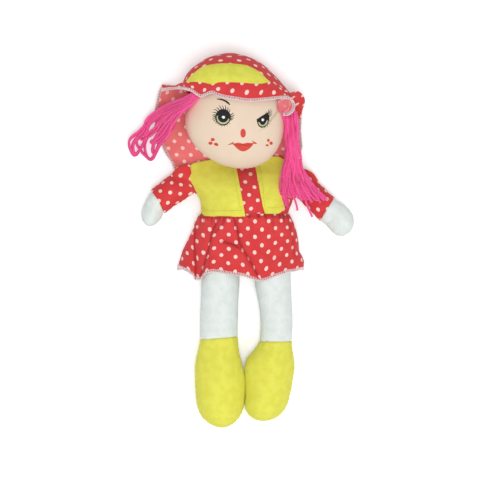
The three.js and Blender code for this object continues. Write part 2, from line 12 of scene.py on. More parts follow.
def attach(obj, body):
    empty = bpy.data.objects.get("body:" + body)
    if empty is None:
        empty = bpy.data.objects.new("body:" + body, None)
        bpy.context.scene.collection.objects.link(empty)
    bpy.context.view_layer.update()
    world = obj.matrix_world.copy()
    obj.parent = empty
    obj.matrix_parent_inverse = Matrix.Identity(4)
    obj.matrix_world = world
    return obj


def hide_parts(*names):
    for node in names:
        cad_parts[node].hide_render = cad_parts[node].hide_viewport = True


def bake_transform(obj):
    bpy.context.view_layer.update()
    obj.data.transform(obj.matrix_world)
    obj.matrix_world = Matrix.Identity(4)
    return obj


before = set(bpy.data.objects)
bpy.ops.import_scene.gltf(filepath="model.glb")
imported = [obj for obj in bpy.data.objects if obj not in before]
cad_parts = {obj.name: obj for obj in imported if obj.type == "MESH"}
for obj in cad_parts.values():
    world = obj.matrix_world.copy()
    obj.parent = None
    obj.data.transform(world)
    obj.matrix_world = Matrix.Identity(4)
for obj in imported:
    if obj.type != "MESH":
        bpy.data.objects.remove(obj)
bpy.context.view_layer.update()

MM = 0.001
PIXEL = 1.0667
MIDDLE = (245, 192)
PICTURE = 480
TAU = 2 * math.pi
COTTON = 0.8  # Thickness of the dotted cloth


def place(px, py):
    """A pixel of the photograph as a place in the plane of the bed."""
    return (px - MIDDLE[0]) * PIXEL, (MIDDLE[1] - py) * PIXEL


def line(*pixels):
    return np.array([place(*p) for p in pixels])


def smooth(t):
    t = np.clip(t, 0, 1)
    return t * t * (3 - 2 * t)


def bell(x, width):
    return np.exp(-((x / width) ** 2))


def unit(v):
    return v / np.maximum(np.linalg.norm(v, axis=-1, keepdims=True), 1e-9)


def run_of(path):
    """How far along a line each of its points lies."""
    return np.concatenate([[0], np.cumsum(np.linalg.norm(np.diff(path, axis=0), axis=1))])


def on_line(path, run, at):
    """The places that far along a line whose points have those runs."""
    return np.array([np.interp(at, run, column) for column in path.T]).T


def between(rows, s):
    """Values between the rows of a table whose first column rises, without overshoot."""
    last = len(rows) - 1
    if s <= rows[0][0]:
        return rows[0][1:]
    if s >= rows[last][0]:
        return rows[last][1:]
    i = next(k for k in range(last + 1) if rows[k][0] > s) - 1

    def slope(a, k):
        return (rows[a + 1][k] - rows[a][k]) / (rows[a + 1][0] - rows[a][0])

    def tangent(a, k):
        if a in (0, last):
            return slope(0 if a == 0 else last - 1, k)
        before, after = slope(a - 1, k), slope(a, k)
        return 2 * before * after / (before + after) if before * after > 0 else 0

    width = rows[i + 1][0] - rows[i][0]
    t = (s - rows[i][0]) / width
    values = []
    for k in range(1, len(rows[0])):
        lift = rows[i][k] * (1 + 2 * t) * (1 - t) ** 2 + rows[i + 1][k] * t * t * (3 - 2 * t)
        values.append(lift + width * (tangent(i, k) * t * (1 - t) ** 2 - tangent(i + 1, k) * t * t * (1 - t)))
    return values


def curve(points, count):
    """A smooth line of so many points through the given ones, evenly spaced."""
    points = np.asarray(points, float)
    ends = np.vstack([2 * points[0] - points[1], points, 2 * points[-1] - points[-2]])
    fine = []
    for a, b, c, d in zip(ends, ends[1:], ends[2:], ends[3:]):
        bend, twist = 2 * a - 5 * b + 4 * c - d, 3 * b - a - 3 * c + d
        fine += [0.5 * (2 * b + (c - a) * t + bend * t**2 + twist * t**3) for t in np.arange(12) / 12]
    fine = np.array(fine + [points[-1]])
    run = run_of(fine)
    return on_line(fine, run, np.linspace(0, run[-1], count))


def wobble(points, size, seed=0):
    """Soft noise from -1 to 1 at points in millimetres."""
    flat = np.asarray(points).reshape(-1, 3)
    values = [noise.noise(Vector((p[0] / size + seed, p[1] / size, p[2] / size))) for p in flat]
    return np.array(values).reshape(np.asarray(points).shape[:-1])


def lumps(angles, wide, tall, run, size, seed):
    """Soft noise round one ring of a stuffed form."""
    ring = [wide * np.cos(angles), tall * np.sin(angles), np.full(len(angles), run)]
    return wobble(np.stack(ring, 1), size, seed)


def woven(rows, columns, at):
    """A grid of the points at(row, column)."""
    return np.array([[at(v, u) for u in columns] for v in rows])


class Nodes:
    """Short ways to add nodes to a tree."""

    def __init__(self, tree):
        self.tree = tree

    def fill(self, node, inputs):
        """Gives a node's inputs their values, or joins other sockets to them."""
        for key, value in dict(inputs).items():
            if isinstance(value, bpy.types.NodeSocket):
                self.tree.links.new(value, node.inputs[key])
            else:
                node.inputs[key].default_value = value

    def add(self, kind, inputs=(), **settings):
        node = self.tree.nodes.new("ShaderNode" + kind)
        for key, value in settings.items():
            setattr(node, key, value)
        self.fill(node, inputs)
        return node


# Camera, floor and light

scene = bpy.context.scene
scene.view_settings.view_transform = "Standard"
EYE_FAR = 2500  # From the eye down to the plane, 20 mm over the bed, where place() holds
EYE = Vector((*(c * MM for c in place(PICTURE / 2, PICTURE / 2)), 2.52))
camera = bpy.data.objects.new("camera", bpy.data.cameras.new("camera"))
scene.collection.objects.link(camera)
camera.location = EYE
camera.data.sensor_width = 36
camera.data.lens = 36 * EYE_FAR / (PICTURE * PIXEL)
camera.data.clip_start = 0.05
scene.camera = camera

scene.world = scene.world or bpy.data.worlds.new("world")
scene.world.use_nodes = True
sky = Nodes(scene.world.node_tree)
seen = sky.add("LightPath").outputs["Is Camera Ray"]
bright = sky.add("Mix", {"Factor": seen, "A": 0.45, "B": 1.0}).outputs["Result"]
sky.fill(sky.tree.nodes["Background"], {"Strength": bright, "Color": (1, 1, 1, 1)})

bpy.ops.mesh.primitive_plane_add(size=6, location=(0, 0, 0))
floor = bpy.context.object
floor.name = "floor"
floor.data.materials.append(bpy.data.materials.new("paper"))
floor.data.materials[0].use_nodes = True
paper = Nodes(floor.data.materials[0].node_tree)
# To the camera the paper is a little brighter, most of all far out, where the lamps don't reach
spot = paper.add("NewGeometry").outputs["Position"]
away = paper.add("VectorMath", {0: spot}, operation="LENGTH").outputs["Value"]
glow = paper.add("MapRange", {"Value": away, "From Min": 0.3, "From Max": 2.0, "To Min": 0.26, "To Max": 0.65})
seen = paper.add("LightPath").outputs["Is Camera Ray"]
only_seen = paper.add("Math", {0: seen, 1: glow.outputs["Result"]}, operation="MULTIPLY").outputs[0]
paper.fill(paper.tree.nodes["Principled BSDF"], {
    "Base Color": (0.9, 0.9, 0.9, 1), "Roughness": 0.9, "Specular IOR Level": 0,
    "Emission Color": (1, 1, 1, 1), "Emission Strength": only_seen,
})

LAMPS = [
    ("front_light", (0.1, -0.5, 2.7), 29, 0.9),
    ("key_light", (0.9, -1.3, 2.1), 15, 1.2),
    ("fill_light", (-1.2, 0.6, 2.0), 7, 1.6),
]
for name, at, watts, size in LAMPS:
    light = bpy.data.objects.new(name, bpy.data.lights.new(name, "AREA"))
    light.data.energy = watts
    light.data.size = size
    light.location = at
    light.rotation_euler = (Vector((0, -0.05, 0)) - Vector(at)).to_track_quat("-Z", "Y").to_euler()
    scene.collection.objects.link(light)

# Materials


def tint(r, g, b):
    """A screen colour as a linear one."""
    return tuple((c / 255 / 12.92) if c <= 10 else ((c / 255 + 0.055) / 1.055) ** 2.4 for c in (r, g, b)) + (1,)


class Cloth(Nodes):
    """A material, its nodes and what cloths have in common."""

    def __init__(self, name, roughness, sheen, sheen_tint=(1, 1, 1, 1)):
        self.material = bpy.data.materials.new(name)
        self.material.use_nodes = True
        super().__init__(self.material.node_tree)
        self.shader = self.tree.nodes["Principled BSDF"]
        self.fill(self.shader, {
            "Roughness": roughness, "Specular IOR Level": 0.25,
            "Sheen Weight": sheen, "Sheen Roughness": 0.5, "Sheen Tint": sheen_tint,
        })
        self.uv = self.add("UVMap", uv_map="cloth").outputs["UV"]

    def math(self, operation, a, b):
        return self.add("Math", {0: a, 1: b}, operation=operation).outputs[0]

    def mix(self, factor, a, b):
        return self.add("Mix", {0: factor, 6: a, 7: b}, data_type="RGBA").outputs[2]

    def ramp(self, value, low, high):
        inputs = {"Value": value, "From Min": low, "From Max": high}
        return self.add("MapRange", inputs, interpolation_type="SMOOTHSTEP", clamp=True).outputs["Result"]

    def moved(self, scale, turn, kind="POINT"):
        inputs = {"Vector": self.uv, "Scale": scale, "Rotation": (0, 0, turn)}
        return self.add("Mapping", inputs, vector_type=kind).outputs["Vector"]

    def fibres(self, size, stretch=1.0, turn=0.0, detail=5.0):
        """Noise with grains of that size in millimetres."""
        vector = self.moved((size * MM, size * stretch * MM, 1), turn, "TEXTURE")
        inputs = {"Vector": vector, "Scale": 1.0, "Detail": detail}
        return self.add("TexNoise", inputs, noise_dimensions="2D").outputs["Fac"]

    def bands(self, pitch, turn=0.0):
        """Waves from 0 to 1 with that pitch in millimetres."""
        inputs = {"Vector": self.moved((1, 1, 1), turn), "Scale": TAU / (20 * pitch * MM)}
        return self.add("TexWave", inputs, wave_type="BANDS", bands_direction="X").outputs["Fac"]

    def grid(self, wide, tall):
        return self.math("MULTIPLY", self.bands(wide), self.bands(tall, math.pi / 2))

    def layer(self, name):
        """What the piece itself says at each of its points."""
        return self.add("Attribute", attribute_name=name).outputs["Fac"]

    def shaded(self, body, deep, green):
        """A colour with painted shade, darker where the piece's shade layer says."""
        return self.mix(self.layer("shade"), body, (deep[0] * 0.5, deep[1] * green, deep[2] * 0.4, 1))

    def bump(self, height, depth, strength):
        inputs = {"Height": height, "Distance": depth * MM, "Strength": strength}
        self.fill(self.shader, {"Normal": self.add("Bump", inputs).outputs["Normal"]})

    def colour(self, socket):
        self.fill(self.shader, {"Base Color": socket})
        return self.material


DOT_PITCH, DOT_RADIUS, DOT_SOFT = 10.9, 2.05, 0.012


def dotted(name, base, deep, dot, turn=0.0, fade=0.0):
    """Plain-weave cotton with printed dots on a slanted lattice."""
    cloth = Cloth(name, 0.88, 0.12)
    edge = cloth.math("MULTIPLY", cloth.math("SUBTRACT", cloth.fibres(0.6), 0.5), 0.05)
    lattice = cloth.moved((1 / (DOT_PITCH * MM),) * 3, math.pi / 4 + turn)
    inputs = {"Vector": lattice, "Scale": 1.0, "Randomness": 0.0}
    cell = cloth.add("TexVoronoi", inputs, voronoi_dimensions="2D")
    spot = cloth.math("ADD", cell.outputs["Distance"], edge)
    inside = cloth.ramp(spot, DOT_RADIUS / DOT_PITCH + DOT_SOFT, DOT_RADIUS / DOT_PITCH - DOT_SOFT)
    weave = cloth.grid(0.42, 0.42)
    red = cloth.mix(cloth.fibres(14, detail=3), deep, base)
    red = cloth.mix(cloth.math("MULTIPLY", weave, 0.22), red, deep)
    ink = cloth.mix(cloth.math("MULTIPLY", weave, 0.12), dot, base)
    cloth.bump(cloth.math("ADD", weave, cloth.math("MULTIPLY", cloth.fibres(2.5), 0.8)), 0.12, 0.5)
    body = cloth.mix(cloth.math("MULTIPLY", inside, 1.0 - fade), red, ink)
    return cloth.colour(cloth.shaded(body, deep, 0.4))


def felt(name, base, deep, pale, sheen=0.3, depth=0.25):
    """Pressed fibres that lie in every direction."""
    cloth = Cloth(name, 0.95, sheen, pale)
    hairs = cloth.math("ADD", cloth.fibres(0.22, 5, 0.5), cloth.fibres(0.22, 5, 2.2))
    body = cloth.mix(cloth.ramp(cloth.fibres(9, detail=4), 0.3, 0.7), deep, base)
    body = cloth.mix(cloth.ramp(hairs, 1.05, 1.35), body, pale)
    cloth.bump(cloth.math("ADD", hairs, cloth.fibres(1.6)), depth, 0.6)
    return cloth.colour(body)


def thread(name, base, deep, pitch, fleck=(0, 0, 0, 1)):
    """Spun thread, its turns along the run."""
    cloth = Cloth(name, 0.8, 0.3)
    ply = cloth.bands(pitch, 0.9)
    cloth.bump(ply, 0.15, 0.6)
    return cloth.colour(cloth.mix(cloth.layer("tone"), cloth.mix(ply, deep, base), fleck))


def tricot(name, base, deep, glow_and_edge_pink):
    """Fine knit, pinker where the piece's own layer says: a painted reflection of the pink hair, and a pinker edge.
    """
    cloth = Cloth(name, 0.85, 0.15)
    body = cloth.mix(cloth.layer("hair_glow_and_edge_pink"), cloth.mix(cloth.fibres(20, detail=2), deep, base), glow_and_edge_pink)
    cloth.bump(cloth.math("ADD", cloth.grid(0.5, 0.7), cloth.fibres(1.2)), 0.08, 0.5)
    return cloth.colour(cloth.shaded(body, deep, 0.45))


def yarn(name, base, deep, pale):
    """Two-ply yarn whose strands differ a little."""
    cloth = Cloth(name, 0.9, 0.45, pale)
    fluff = cloth.math("ADD", cloth.fibres(0.18, 6, 0.7), cloth.fibres(0.5))
    body = cloth.mix(cloth.ramp(fluff, 0.95, 1.35), cloth.mix(cloth.layer("tone"), deep, base), pale)
    cloth.bump(fluff, 0.25, 0.6)
    return cloth.colour(body)


def print_ink(name, base, deep):
    """Printed ink that lets the knit show through."""
    cloth = Cloth(name, 0.7, 0.05)
    knit = cloth.grid(0.5, 0.7)
    cloth.bump(knit, 0.08, 0.5)
    return cloth.colour(cloth.mix(cloth.math("MULTIPLY", knit, 0.4), base, deep))


RED = dotted("red_dotted_cotton", tint(224, 70, 71), tint(208, 52, 56), tint(250, 216, 208))
LEANING = dotted("red_dotted_cotton_leaning", tint(224, 70, 71), tint(208, 52, 56), tint(250, 216, 208), -0.19)
REVERSE = dotted("dotted_cotton_reverse", tint(244, 134, 134), tint(234, 112, 114), tint(255, 216, 208))
CURLED = dotted("dotted_cotton_curled", tint(228, 128, 133), tint(216, 106, 113), tint(255, 216, 208), 0.3, 0.75)
YELLOW = felt("yellow_felt", tint(230, 228, 88), tint(223, 219, 76), tint(240, 240, 134))
WHITE = felt("white_brushed_tricot", tint(226, 233, 229), tint(217, 225, 221), tint(242, 246, 244), 0.2, 0.15)
# Its last colour is the pink of the painted hair glow and of the face's pinker edge
SKIN = tricot("beige_tricot", tint(234, 213, 191), tint(229, 206, 183), tint(240, 150, 150))
PINK = yarn("pink_yarn", tint(249, 74, 148), tint(220, 38, 112), tint(255, 150, 200))
OVERLOCK = thread("pale_pink_overlock", tint(252, 238, 236), tint(238, 208, 210), 0.9, tint(150, 84, 98))
SEWING = thread("yellow_sewing_thread", tint(226, 221, 74), tint(204, 195, 54), 0.5)
BLACK = print_ink("black_print", tint(28, 28, 26), tint(48, 46, 42))
LIP = print_ink("red_print", tint(214, 74, 62), tint(196, 58, 50))
SHADE = print_ink("grey_print", tint(62, 58, 55), tint(84, 79, 74))
DEEP_LIP = print_ink("deep_red_print", tint(178, 44, 42), tint(160, 40, 38))
GREEN = print_ink("pale_green_print", tint(194, 198, 156), tint(158, 164, 122))
GLINT = print_ink("white_print", tint(250, 250, 250), tint(236, 236, 236))

# Mesh making


def new_piece(name, points, faces, uvs, materials, face_materials=None, closed=True, crease=None):
    """A smooth mesh from points in millimetres, faces, and one (u, v) in millimetres per face corner."""
    mesh = bpy.data.meshes.new(name)
    mesh.from_pydata((np.asarray(points) * MM).tolist(), [], faces)
    layer = mesh.uv_layers.new(name="cloth")
    layer.data.foreach_set("uv", (np.asarray(uvs, float) * MM).ravel())
    for material in materials:
        mesh.materials.append(material)
    if face_materials is not None:
        mesh.polygons.foreach_set("material_index", face_materials)
    mesh.polygons.foreach_set("use_smooth", [True] * len(mesh.polygons))
    if closed:
        work = bmesh.new()
        work.from_mesh(mesh)
        bmesh.ops.recalc_face_normals(work, faces=work.faces)
        work.to_mesh(mesh)
        work.free()
    mesh.validate()
    obj = bpy.data.objects.new(name, mesh)
    scene.collection.objects.link(obj)
    if crease:
        bpy.ops.object.select_all(action="DESELECT")
        obj.select_set(True)
        bpy.context.view_layer.objects.active = obj
        bpy.ops.object.shade_smooth_by_angle(angle=math.radians(crease))
        obj.select_set(False)
    return obj


def paint(obj, layer, values):
    """Writes one value for each point of a piece."""
    obj.data.attributes.new(layer, "FLOAT", "POINT").data.foreach_set("value", values)


def arcs(grid, wrap):
    """Cloth places of a grid: across, from its middle column, and along, both measured on the surface."""
    closed = np.concatenate([grid, grid[:, :1]], 1) if wrap else grid
    step = np.linalg.norm(np.diff(closed, axis=1), axis=2)
    across = np.concatenate([np.zeros((len(grid), 1)), np.cumsum(step, 1)], 1)
    middle = closed.shape[1] // 2
    across -= across[:, middle : middle + 1]
    run = np.linalg.norm(np.diff(closed, axis=0), axis=2)
    along = np.concatenate([[0], np.cumsum(np.median(run, axis=1))])
    return across, np.repeat(along[:, None], closed.shape[1], 1)


def quads(rows, columns, wrap, start=0):
    """Faces of a grid and, for each corner, its row and unwrapped column."""
    faces, corners = [], []
    for j in range(rows - 1):
        for i in range(columns if wrap else columns - 1):
            four = ((j, i), (j, i + 1), (j + 1, i + 1), (j + 1, i))
            faces.append(tuple(start + row * columns + column % columns for row, column in four))
            corners.append(four)
    return faces, corners


def closed_tube(name, grid, material, caps=(True, True), round_cut=False):
    """A stuffed form: rings of points that wrap round, with closed ends. A round cut's middle is its last ring."""
    rows, columns = grid.shape[:2]
    across, along = arcs(grid, True)
    if round_cut:
        angle = np.arange(columns + 1) / columns * TAU
        across, along = (along[-1] - along) * np.cos(angle), (along[-1] - along) * np.sin(angle)
    faces, corners = quads(rows, columns, True)
    points = [tuple(p) for p in grid.reshape(-1, 3)]
    uvs = [(across[c], along[c]) for four in corners for c in four]
    for end, row in ((0, 0), (1, rows - 1)):
        if not caps[end]:
            continue
        points.append(tuple(grid[row].mean(0)))
        for i in range(columns):
            pair = [(row, i + 1), (row, i)] if end == 0 else [(row, i), (row, i + 1)]
            faces.append((len(points) - 1, *(r * columns + c % columns for r, c in pair)))
            uvs += [(0, along[row, 0])] + [(across[c], along[c]) for c in pair]
    return new_piece(name, points, faces, uvs, [material])


def sheet_piece(name, outer, inner, materials, wrap=False, pattern=None):
    """Cloth with two faces and its cut edges. Its pattern can follow another grid than its own."""
    rows, columns = outer.shape[:2]
    across, along = arcs(outer if pattern is None else pattern, wrap)
    if pattern is not None:
        across += pattern[:, pattern.shape[1] // 2, :1]
    under = rows * columns
    front, corners = quads(rows, columns, wrap)
    back = [tuple(reversed(f)) for f in quads(rows, columns, wrap, under)[0]]
    corners += [four[::-1] for four in corners]
    cells = range(columns if wrap else columns - 1)
    rim = [((rows - 1, i), (rows - 1, i + 1)) for i in cells] + [((0, i + 1), (0, i)) for i in cells]
    if not wrap:
        rim += [((j + 1, columns - 1), (j, columns - 1)) for j in range(rows - 1)]
        rim += [((j, 0), (j + 1, 0)) for j in range(rows - 1)]
    edges = []
    for a, b in rim:
        ia, ib = a[0] * columns + a[1] % columns, b[0] * columns + b[1] % columns
        edges.append((ib, ia, ia + under, ib + under))
        corners.append((b, a, a, b))
    points = np.concatenate([outer.reshape(-1, 3), inner.reshape(-1, 3)])
    uvs = [(across[c], along[c]) for four in corners for c in four]
    kinds = [0] * len(front) + [min(1, len(materials) - 1)] * len(back) + [0] * len(edges)
    return new_piece(name, points, front + back + edges, uvs, materials, kinds, crease=50)


def normals_of(grid, wrap=False):
    wider = np.concatenate([grid[:, -1:], grid, grid[:, :1]], 1) if wrap else grid
    n = np.cross(np.gradient(wider, axis=1), np.gradient(wider, axis=0))
    return unit(n[:, 1:-1] if wrap else n)


def frames(path):
    """Two directions square to a line at each of its points, that turn as little as they can."""
    tangent = unit(np.gradient(path, axis=0))
    side = np.cross(tangent[0], (0, 0, 1.0))
    if np.linalg.norm(side) < 0.05:
        side = np.cross(tangent[0], (0, 1.0, 0))
    sides = []
    for t in tangent:
        side = unit(side - t * np.dot(side, t))
        sides.append(side)
    return np.array(sides), np.cross(tangent, sides)


def strand_rings(path, radius, sides, twist, lobe):
    """Rings round a line. With a lobe they have two plies that twist once in `twist` millimetres."""
    a, b = frames(path)
    run = run_of(path)
    angle = np.arange(sides) / sides * TAU
    turn = run / twist * TAU if twist else run * 0
    size = radius * (1 - lobe + lobe * np.abs(np.cos(angle[None, :] - turn[:, None])))
    ring = a[:, None] * np.cos(angle)[None, :, None] + b[:, None] * np.sin(angle)[None, :, None]
    return path[:, None] + ring * size[..., None], run


def strands_piece(name, paths, radius, material, tones=None, sides=5, twist=0.0, lobe=0.0):
    """Many strands as one mesh."""
    points, faces, uvs, tone = [], [], [], []
    for n, path in enumerate(paths):
        rings, run = strand_rings(np.asarray(path, float), radius, sides, twist, lobe)
        start = len(points)
        points += [tuple(p) for p in rings.reshape(-1, 3)]
        some, corners = quads(len(rings), sides, True, start)
        faces += some
        uvs += [(i / sides * TAU * radius + 9 * n, run[j]) for four in corners for j, i in four]
        last = start + (len(rings) - 1) * sides
        faces += [tuple(range(start, start + sides))[::-1], tuple(range(last, last + sides))]
        uvs += [(9 * n, run[0])] * sides + [(9 * n, run[-1])] * sides
        tone += [0.0 if tones is None else tones[n]] * (len(rings) * sides)
    obj = new_piece(name, points, faces, uvs, [material])
    paint(obj, "tone", tone)
    return obj


HEM_PITCH, HEM_REACH = 2.1, 3.0


def looped_thread(edge, inward, width, phase):
    """The path of a thread that is whipped over a cloth's edge."""
    run = run_of(edge)
    at = np.linspace(0, run[-1], int(run[-1] / HEM_PITCH) * 10)
    middle, towards = on_line(edge, run, at), unit(on_line(inward, run, at))
    tangent = unit(np.gradient(middle, axis=0))
    turn = at / HEM_PITCH * TAU + phase
    swing = HEM_REACH / 2 * (1 - np.cos(turn)) - 0.35
    rise, sway = np.sin(turn) * width, 0.3 * HEM_PITCH * np.sin(2 * turn)
    moves = ((towards, swing), (np.cross(tangent, towards), rise), (tangent, sway))
    return middle + sum(way * amount[:, None] for way, amount in moves)


def overlock(name, edge, inward):
    """Whipped thread over a cut edge, with a needle line beside it."""
    paths = [looped_thread(edge, inward, COTTON * 0.5 + 0.45, k * math.pi) for k in (0, 1)]
    run = run_of(edge)
    for at in np.arange(1, run[-1] - 1, 2.7):
        foot, towards = on_line(edge, run, at), unit(on_line(inward, run, at))
        paths.append([foot + towards * reach + (0, 0, COTTON * 0.5 + 0.75) for reach in (0.4, 1.0, 1.6, 2.3)])
    return strands_piece(name, paths, 0.37, OVERLOCK, [0, 0] + [0.8] * (len(paths) - 2))


def first_normals(obj):
    """Keeps a mesh's normals, so that its parts still look like one cloth where they meet."""
    values = np.empty(len(obj.data.vertices) * 3, np.float32)
    obj.data.vertex_normals.foreach_get("vector", values)
    obj.data.attributes.new("first_normal", "FLOAT_VECTOR", "POINT").data.foreach_set("vector", values)


def part_of(obj, name, *planes):
    """The part of a mesh on one side of each plane, given as a point in millimetres and the kept side."""
    work = bmesh.new()
    work.from_mesh(obj.data)
    for point, towards in planes:
        everything = [*work.verts, *work.edges, *work.faces]
        cut = {"plane_co": Vector(point) * MM, "plane_no": Vector(towards)}
        bmesh.ops.bisect_plane(work, geom=everything, dist=1e-7, clear_inner=True, **cut)
        bmesh.ops.triangle_fill(work, edges=[e for e in work.edges if e.is_boundary], use_beauty=True)
    mesh = bpy.data.meshes.new(name)
    work.to_mesh(mesh)
    work.free()
    for material in obj.data.materials:
        mesh.materials.append(material)
    normals = np.empty(len(mesh.vertices) * 3, np.float32)
    mesh.attributes["first_normal"].data.foreach_get("vector", normals)
    mesh.attributes.remove(mesh.attributes["first_normal"])
    mesh.normals_split_custom_set_from_vertices(normals.reshape(-1, 3).tolist())
    piece = bpy.data.objects.new(name, mesh)
    scene.collection.objects.link(piece)
    return piece


def ring_of(form, s, angles, grow):
    """One ring of a stuffed form, as in the model's own forms: angle 0 is its side, a quarter turn its front."""
    x, y, z, turn, half, up, down, edge = form["at"](s)
    grow = np.broadcast_to(grow, angles.shape)
    c, r = np.cos(angles), np.sin(angles)
    side = np.maximum(half + grow, 0.2 * half) * c
    rise = np.where(r > 0, np.maximum(up + grow, 0.2 * up), -np.maximum(down + grow, 0.2 * down))
    height = np.maximum(z + rise * np.abs(r) ** edge, form["floor"] + np.maximum(0, -grow))
    across = turn + math.pi / 2
    return np.stack([x + side * math.cos(across), y + side * math.sin(across), height], 1)


def form_grid(form, stations, sides, grow):
    angles = np.arange(sides) / sides * TAU - math.pi / 2
    return np.array([ring_of(form, s, angles, grow(s, angles)) for s in stations])


def seam_groove(angles, along_mm, around_mm, depth, width, pucker, pitch):
    """A sewn seam down both sides of a limb, with the little puckers that stitches make."""
    off = np.minimum(np.abs(np.sin(angles)), 1) * around_mm
    return pucker * np.sin(TAU * along_mm / pitch) * bell(off, 3 * width) - depth * bell(off, width)


def declare(piece, nodes, follows):
    """What a piece replaces, and the body it follows. Given instead two bodies and two places, it follows no body and
    is not bent: its place is only baked into its mesh.
    """
    if nodes:
        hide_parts(*nodes)
    if isinstance(follows, str):
        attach(piece, follows)
    else:
        a, b, start, end = follows
        tuple(c * MM for c in start)
        tuple(c * MM for c in end)
        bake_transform(piece)


# Stuffed forms: the same tables of shares as the model's

FELT, SEAM = 1.4, 3.2
TORSO_WIDTH, TORSO_TOP, TORSO_LENGTH, CHEST, BACK, HIP = 117, 39, 90, 29, 15, 15
HIP_Y = TORSO_TOP - TORSO_LENGTH
HIP_GAP = 0.3  # Between the body and a leg
BACK_FLOOR = 1.9
TORSO_SHARES = [
    [0, 0.06, 0.27, 0.04, 0.12, 0.42, 1.6],
    [0.05, 0.015, 0.365, 0.06, 0.2, 0.48, 1.7],
    [0.09, 0, 0.47, 0.09, 0.26, 0.54, 1.8],
    [0.13, 0, 0.497, 0.17, 0.4, 0.62, 1.9],
    [0.25, 0, 0.5, 0.52, 0.78, 0.81, 1.8],
    [0.4, 0.012, 0.463, 0.87, 1.05, 0.93, 1.6],
    [0.55, 0.016, 0.415, 1, 1.05, 0.95, 1.3],
    [0.7, 0, 0.395, 0.9, 1.03, 1, 1.3],
    [0.82, 0, 0.395, 0.6, 0.8, 1, 1.5],
    [0.92, 0.005, 0.395, 0.28, 0.46, 1, 1.7],
    [1, 0.01, 0.395, 0.055, 0.107, 1, 1.8],
]


def torso_at(s):
    lean, half, up, down, height, edge = between(TORSO_SHARES, s)
    x, y, z = lean * TORSO_WIDTH, TORSO_TOP - s * TORSO_LENGTH, height * HIP
    return x, y, z, -math.pi / 2, half * TORSO_WIDTH, up * CHEST, down * BACK, edge


TORSO = {"floor": BACK_FLOOR, "at": torso_at}
LEG_WIDTH, LEG_DEPTH, BOOT_WIDTH, BOOT_DEPTH = 39.5, 31, 51.5, 42
LEG_SHARES = [
    [0, 0.5, 0.012, 0.012, 2],
    [0.016, 0.5, 1.6 / LEG_DEPTH, 1.6 / LEG_DEPTH, 2],
    [0.042, 0.5, 0.058, 0.058, 2],
    [0.12, 0.5, 0.27, 0.19, 1.8],
    [0.22, 0.5, 0.43, 0.33, 1.4],
    [0.42, 0.5, 0.5, 0.4, 1.15],
    [0.6, 0.495, 0.5, 0.5, 1.05],
    [0.8, 0.485, 0.48, 0.5, 1.05],
    [1, 0.475, 0.5, 0.5, 1.05],
]
BOOT_SHARES = [
    [0, 0.365, 0.37, 0.37, 1.05],
    [0.08, 0.4, 0.4, 0.37, 1.05],
    [0.2, 0.46, 0.46, 0.37, 1.05],
    [0.35, 0.5, 0.52, 0.37, 1],
    [0.55, 0.49, 0.58, 0.37, 1],
    [0.72, 0.45, 0.6, 0.37, 1],
    [0.84, 0.38, 0.55, 0.36, 1],
    [0.93, 0.27, 0.43, 0.33, 1],
    [0.985, 0.13, 0.25, 0.22, 1],
    [1, 0.04, 0.1, 0.1, 1],
]
TOE_IN_SHARES = [[0, 0], [0.2, 0.75], [0.45, 1], [1, 1.1]]
# Trims, from the hip down: how far a ring lies inwards of its form's, and how much wider it is
LEGS = {
    "right": dict(
        hip=-25, bow=3, toe=1.6, leg=106, boot=94, tilt=1.5,
        trims=[
            [0, 0, 0], [42, 0, 0.4], [106, 0, 1.2], [124, -1.5, -1.2], [135, -1.2, -1.1], [148, 0.2, 0.2],
            [165, 0.2, 0.9], [189, 0.6, 1.4], [200, 1.5, 0.3],
        ],
    ),
    "left": dict(
        hip=28.3, bow=4.5, toe=7, leg=108, boot=85, tilt=0,
        trims=[
            [0, 0, 0], [42, 0.35, -0.35], [79, -1.2, -1.9], [92, -1.2, -1.9], [108, -0.2, -1.6], [119, -0.8, -1.1],
            [128, 0.4, 0.3], [140, 0.6, -0.2], [156, 0.7, -0.9], [166, 1.4, -0.9], [176, 3.2, 0.7], [188, 5, 1.4],
            [193, 5.7, 0.5],
        ],
    ),
}


def leg_form(side):
    total = side["leg"] + side["boot"]
    ankle = side["leg"] / total
    outward = math.copysign(1, side["hip"])

    def at(s):
        bend = math.sin(min(1, s / ankle) * math.pi / 2) ** 2
        on_boot = (s - ankle) / (1 - ankle)
        if s < ankle:
            half, up, down, edge = between(LEG_SHARES, s / ankle)
            width, depth = LEG_WIDTH, LEG_DEPTH
        else:
            half, up, down, edge = between(BOOT_SHARES, on_boot)
            width, depth = BOOT_WIDTH, BOOT_DEPTH
        (turn_in,) = between(TOE_IN_SHARES, on_boot)
        x = side["hip"] + outward * (side["bow"] * bend - side["toe"] * turn_in)
        y = HIP_Y - HIP_GAP - s * total
        return x, y, HIP, -math.pi / 2, half * width, up * depth, min(down * depth, HIP + 0.5), edge

    return {"floor": 0, "at": at, "ankle": ankle, "length": total}


SHOULDER_X, SHOULDER_Z, SLEEVE_WIDTH, ARM_DEPTH = 58.9, 13, 31, 26
SLEEVE_SHARES = [
    [0, 0.5, 0.014, 0.014, 2],
    [0.04, 0.5, 1.6 / ARM_DEPTH, 1.6 / ARM_DEPTH, 2],
    [0.1, 0.5, 0.075, 0.07, 1.9],
    [0.25, 0.49, 0.25, 0.27, 1.6],
    [0.5, 0.48, 0.46, 0.5, 1.1],
    [0.8, 0.43, 0.47, 0.5, 1],
    [1, 0.4, 0.42, 0.5, 1],
]
HAND_SHARES = [
    [0, 0.53, 0.45, 0.5, 1],
    [0.3, 0.5, 0.42, 0.5, 1],
    [0.55, 0.5, 0.44, 0.5, 1],
    [0.8, 0.4, 0.38, 0.48, 1],
    [0.93, 0.25, 0.27, 0.38, 1],
    [1, 0.08, 0.1, 0.2, 1],
]
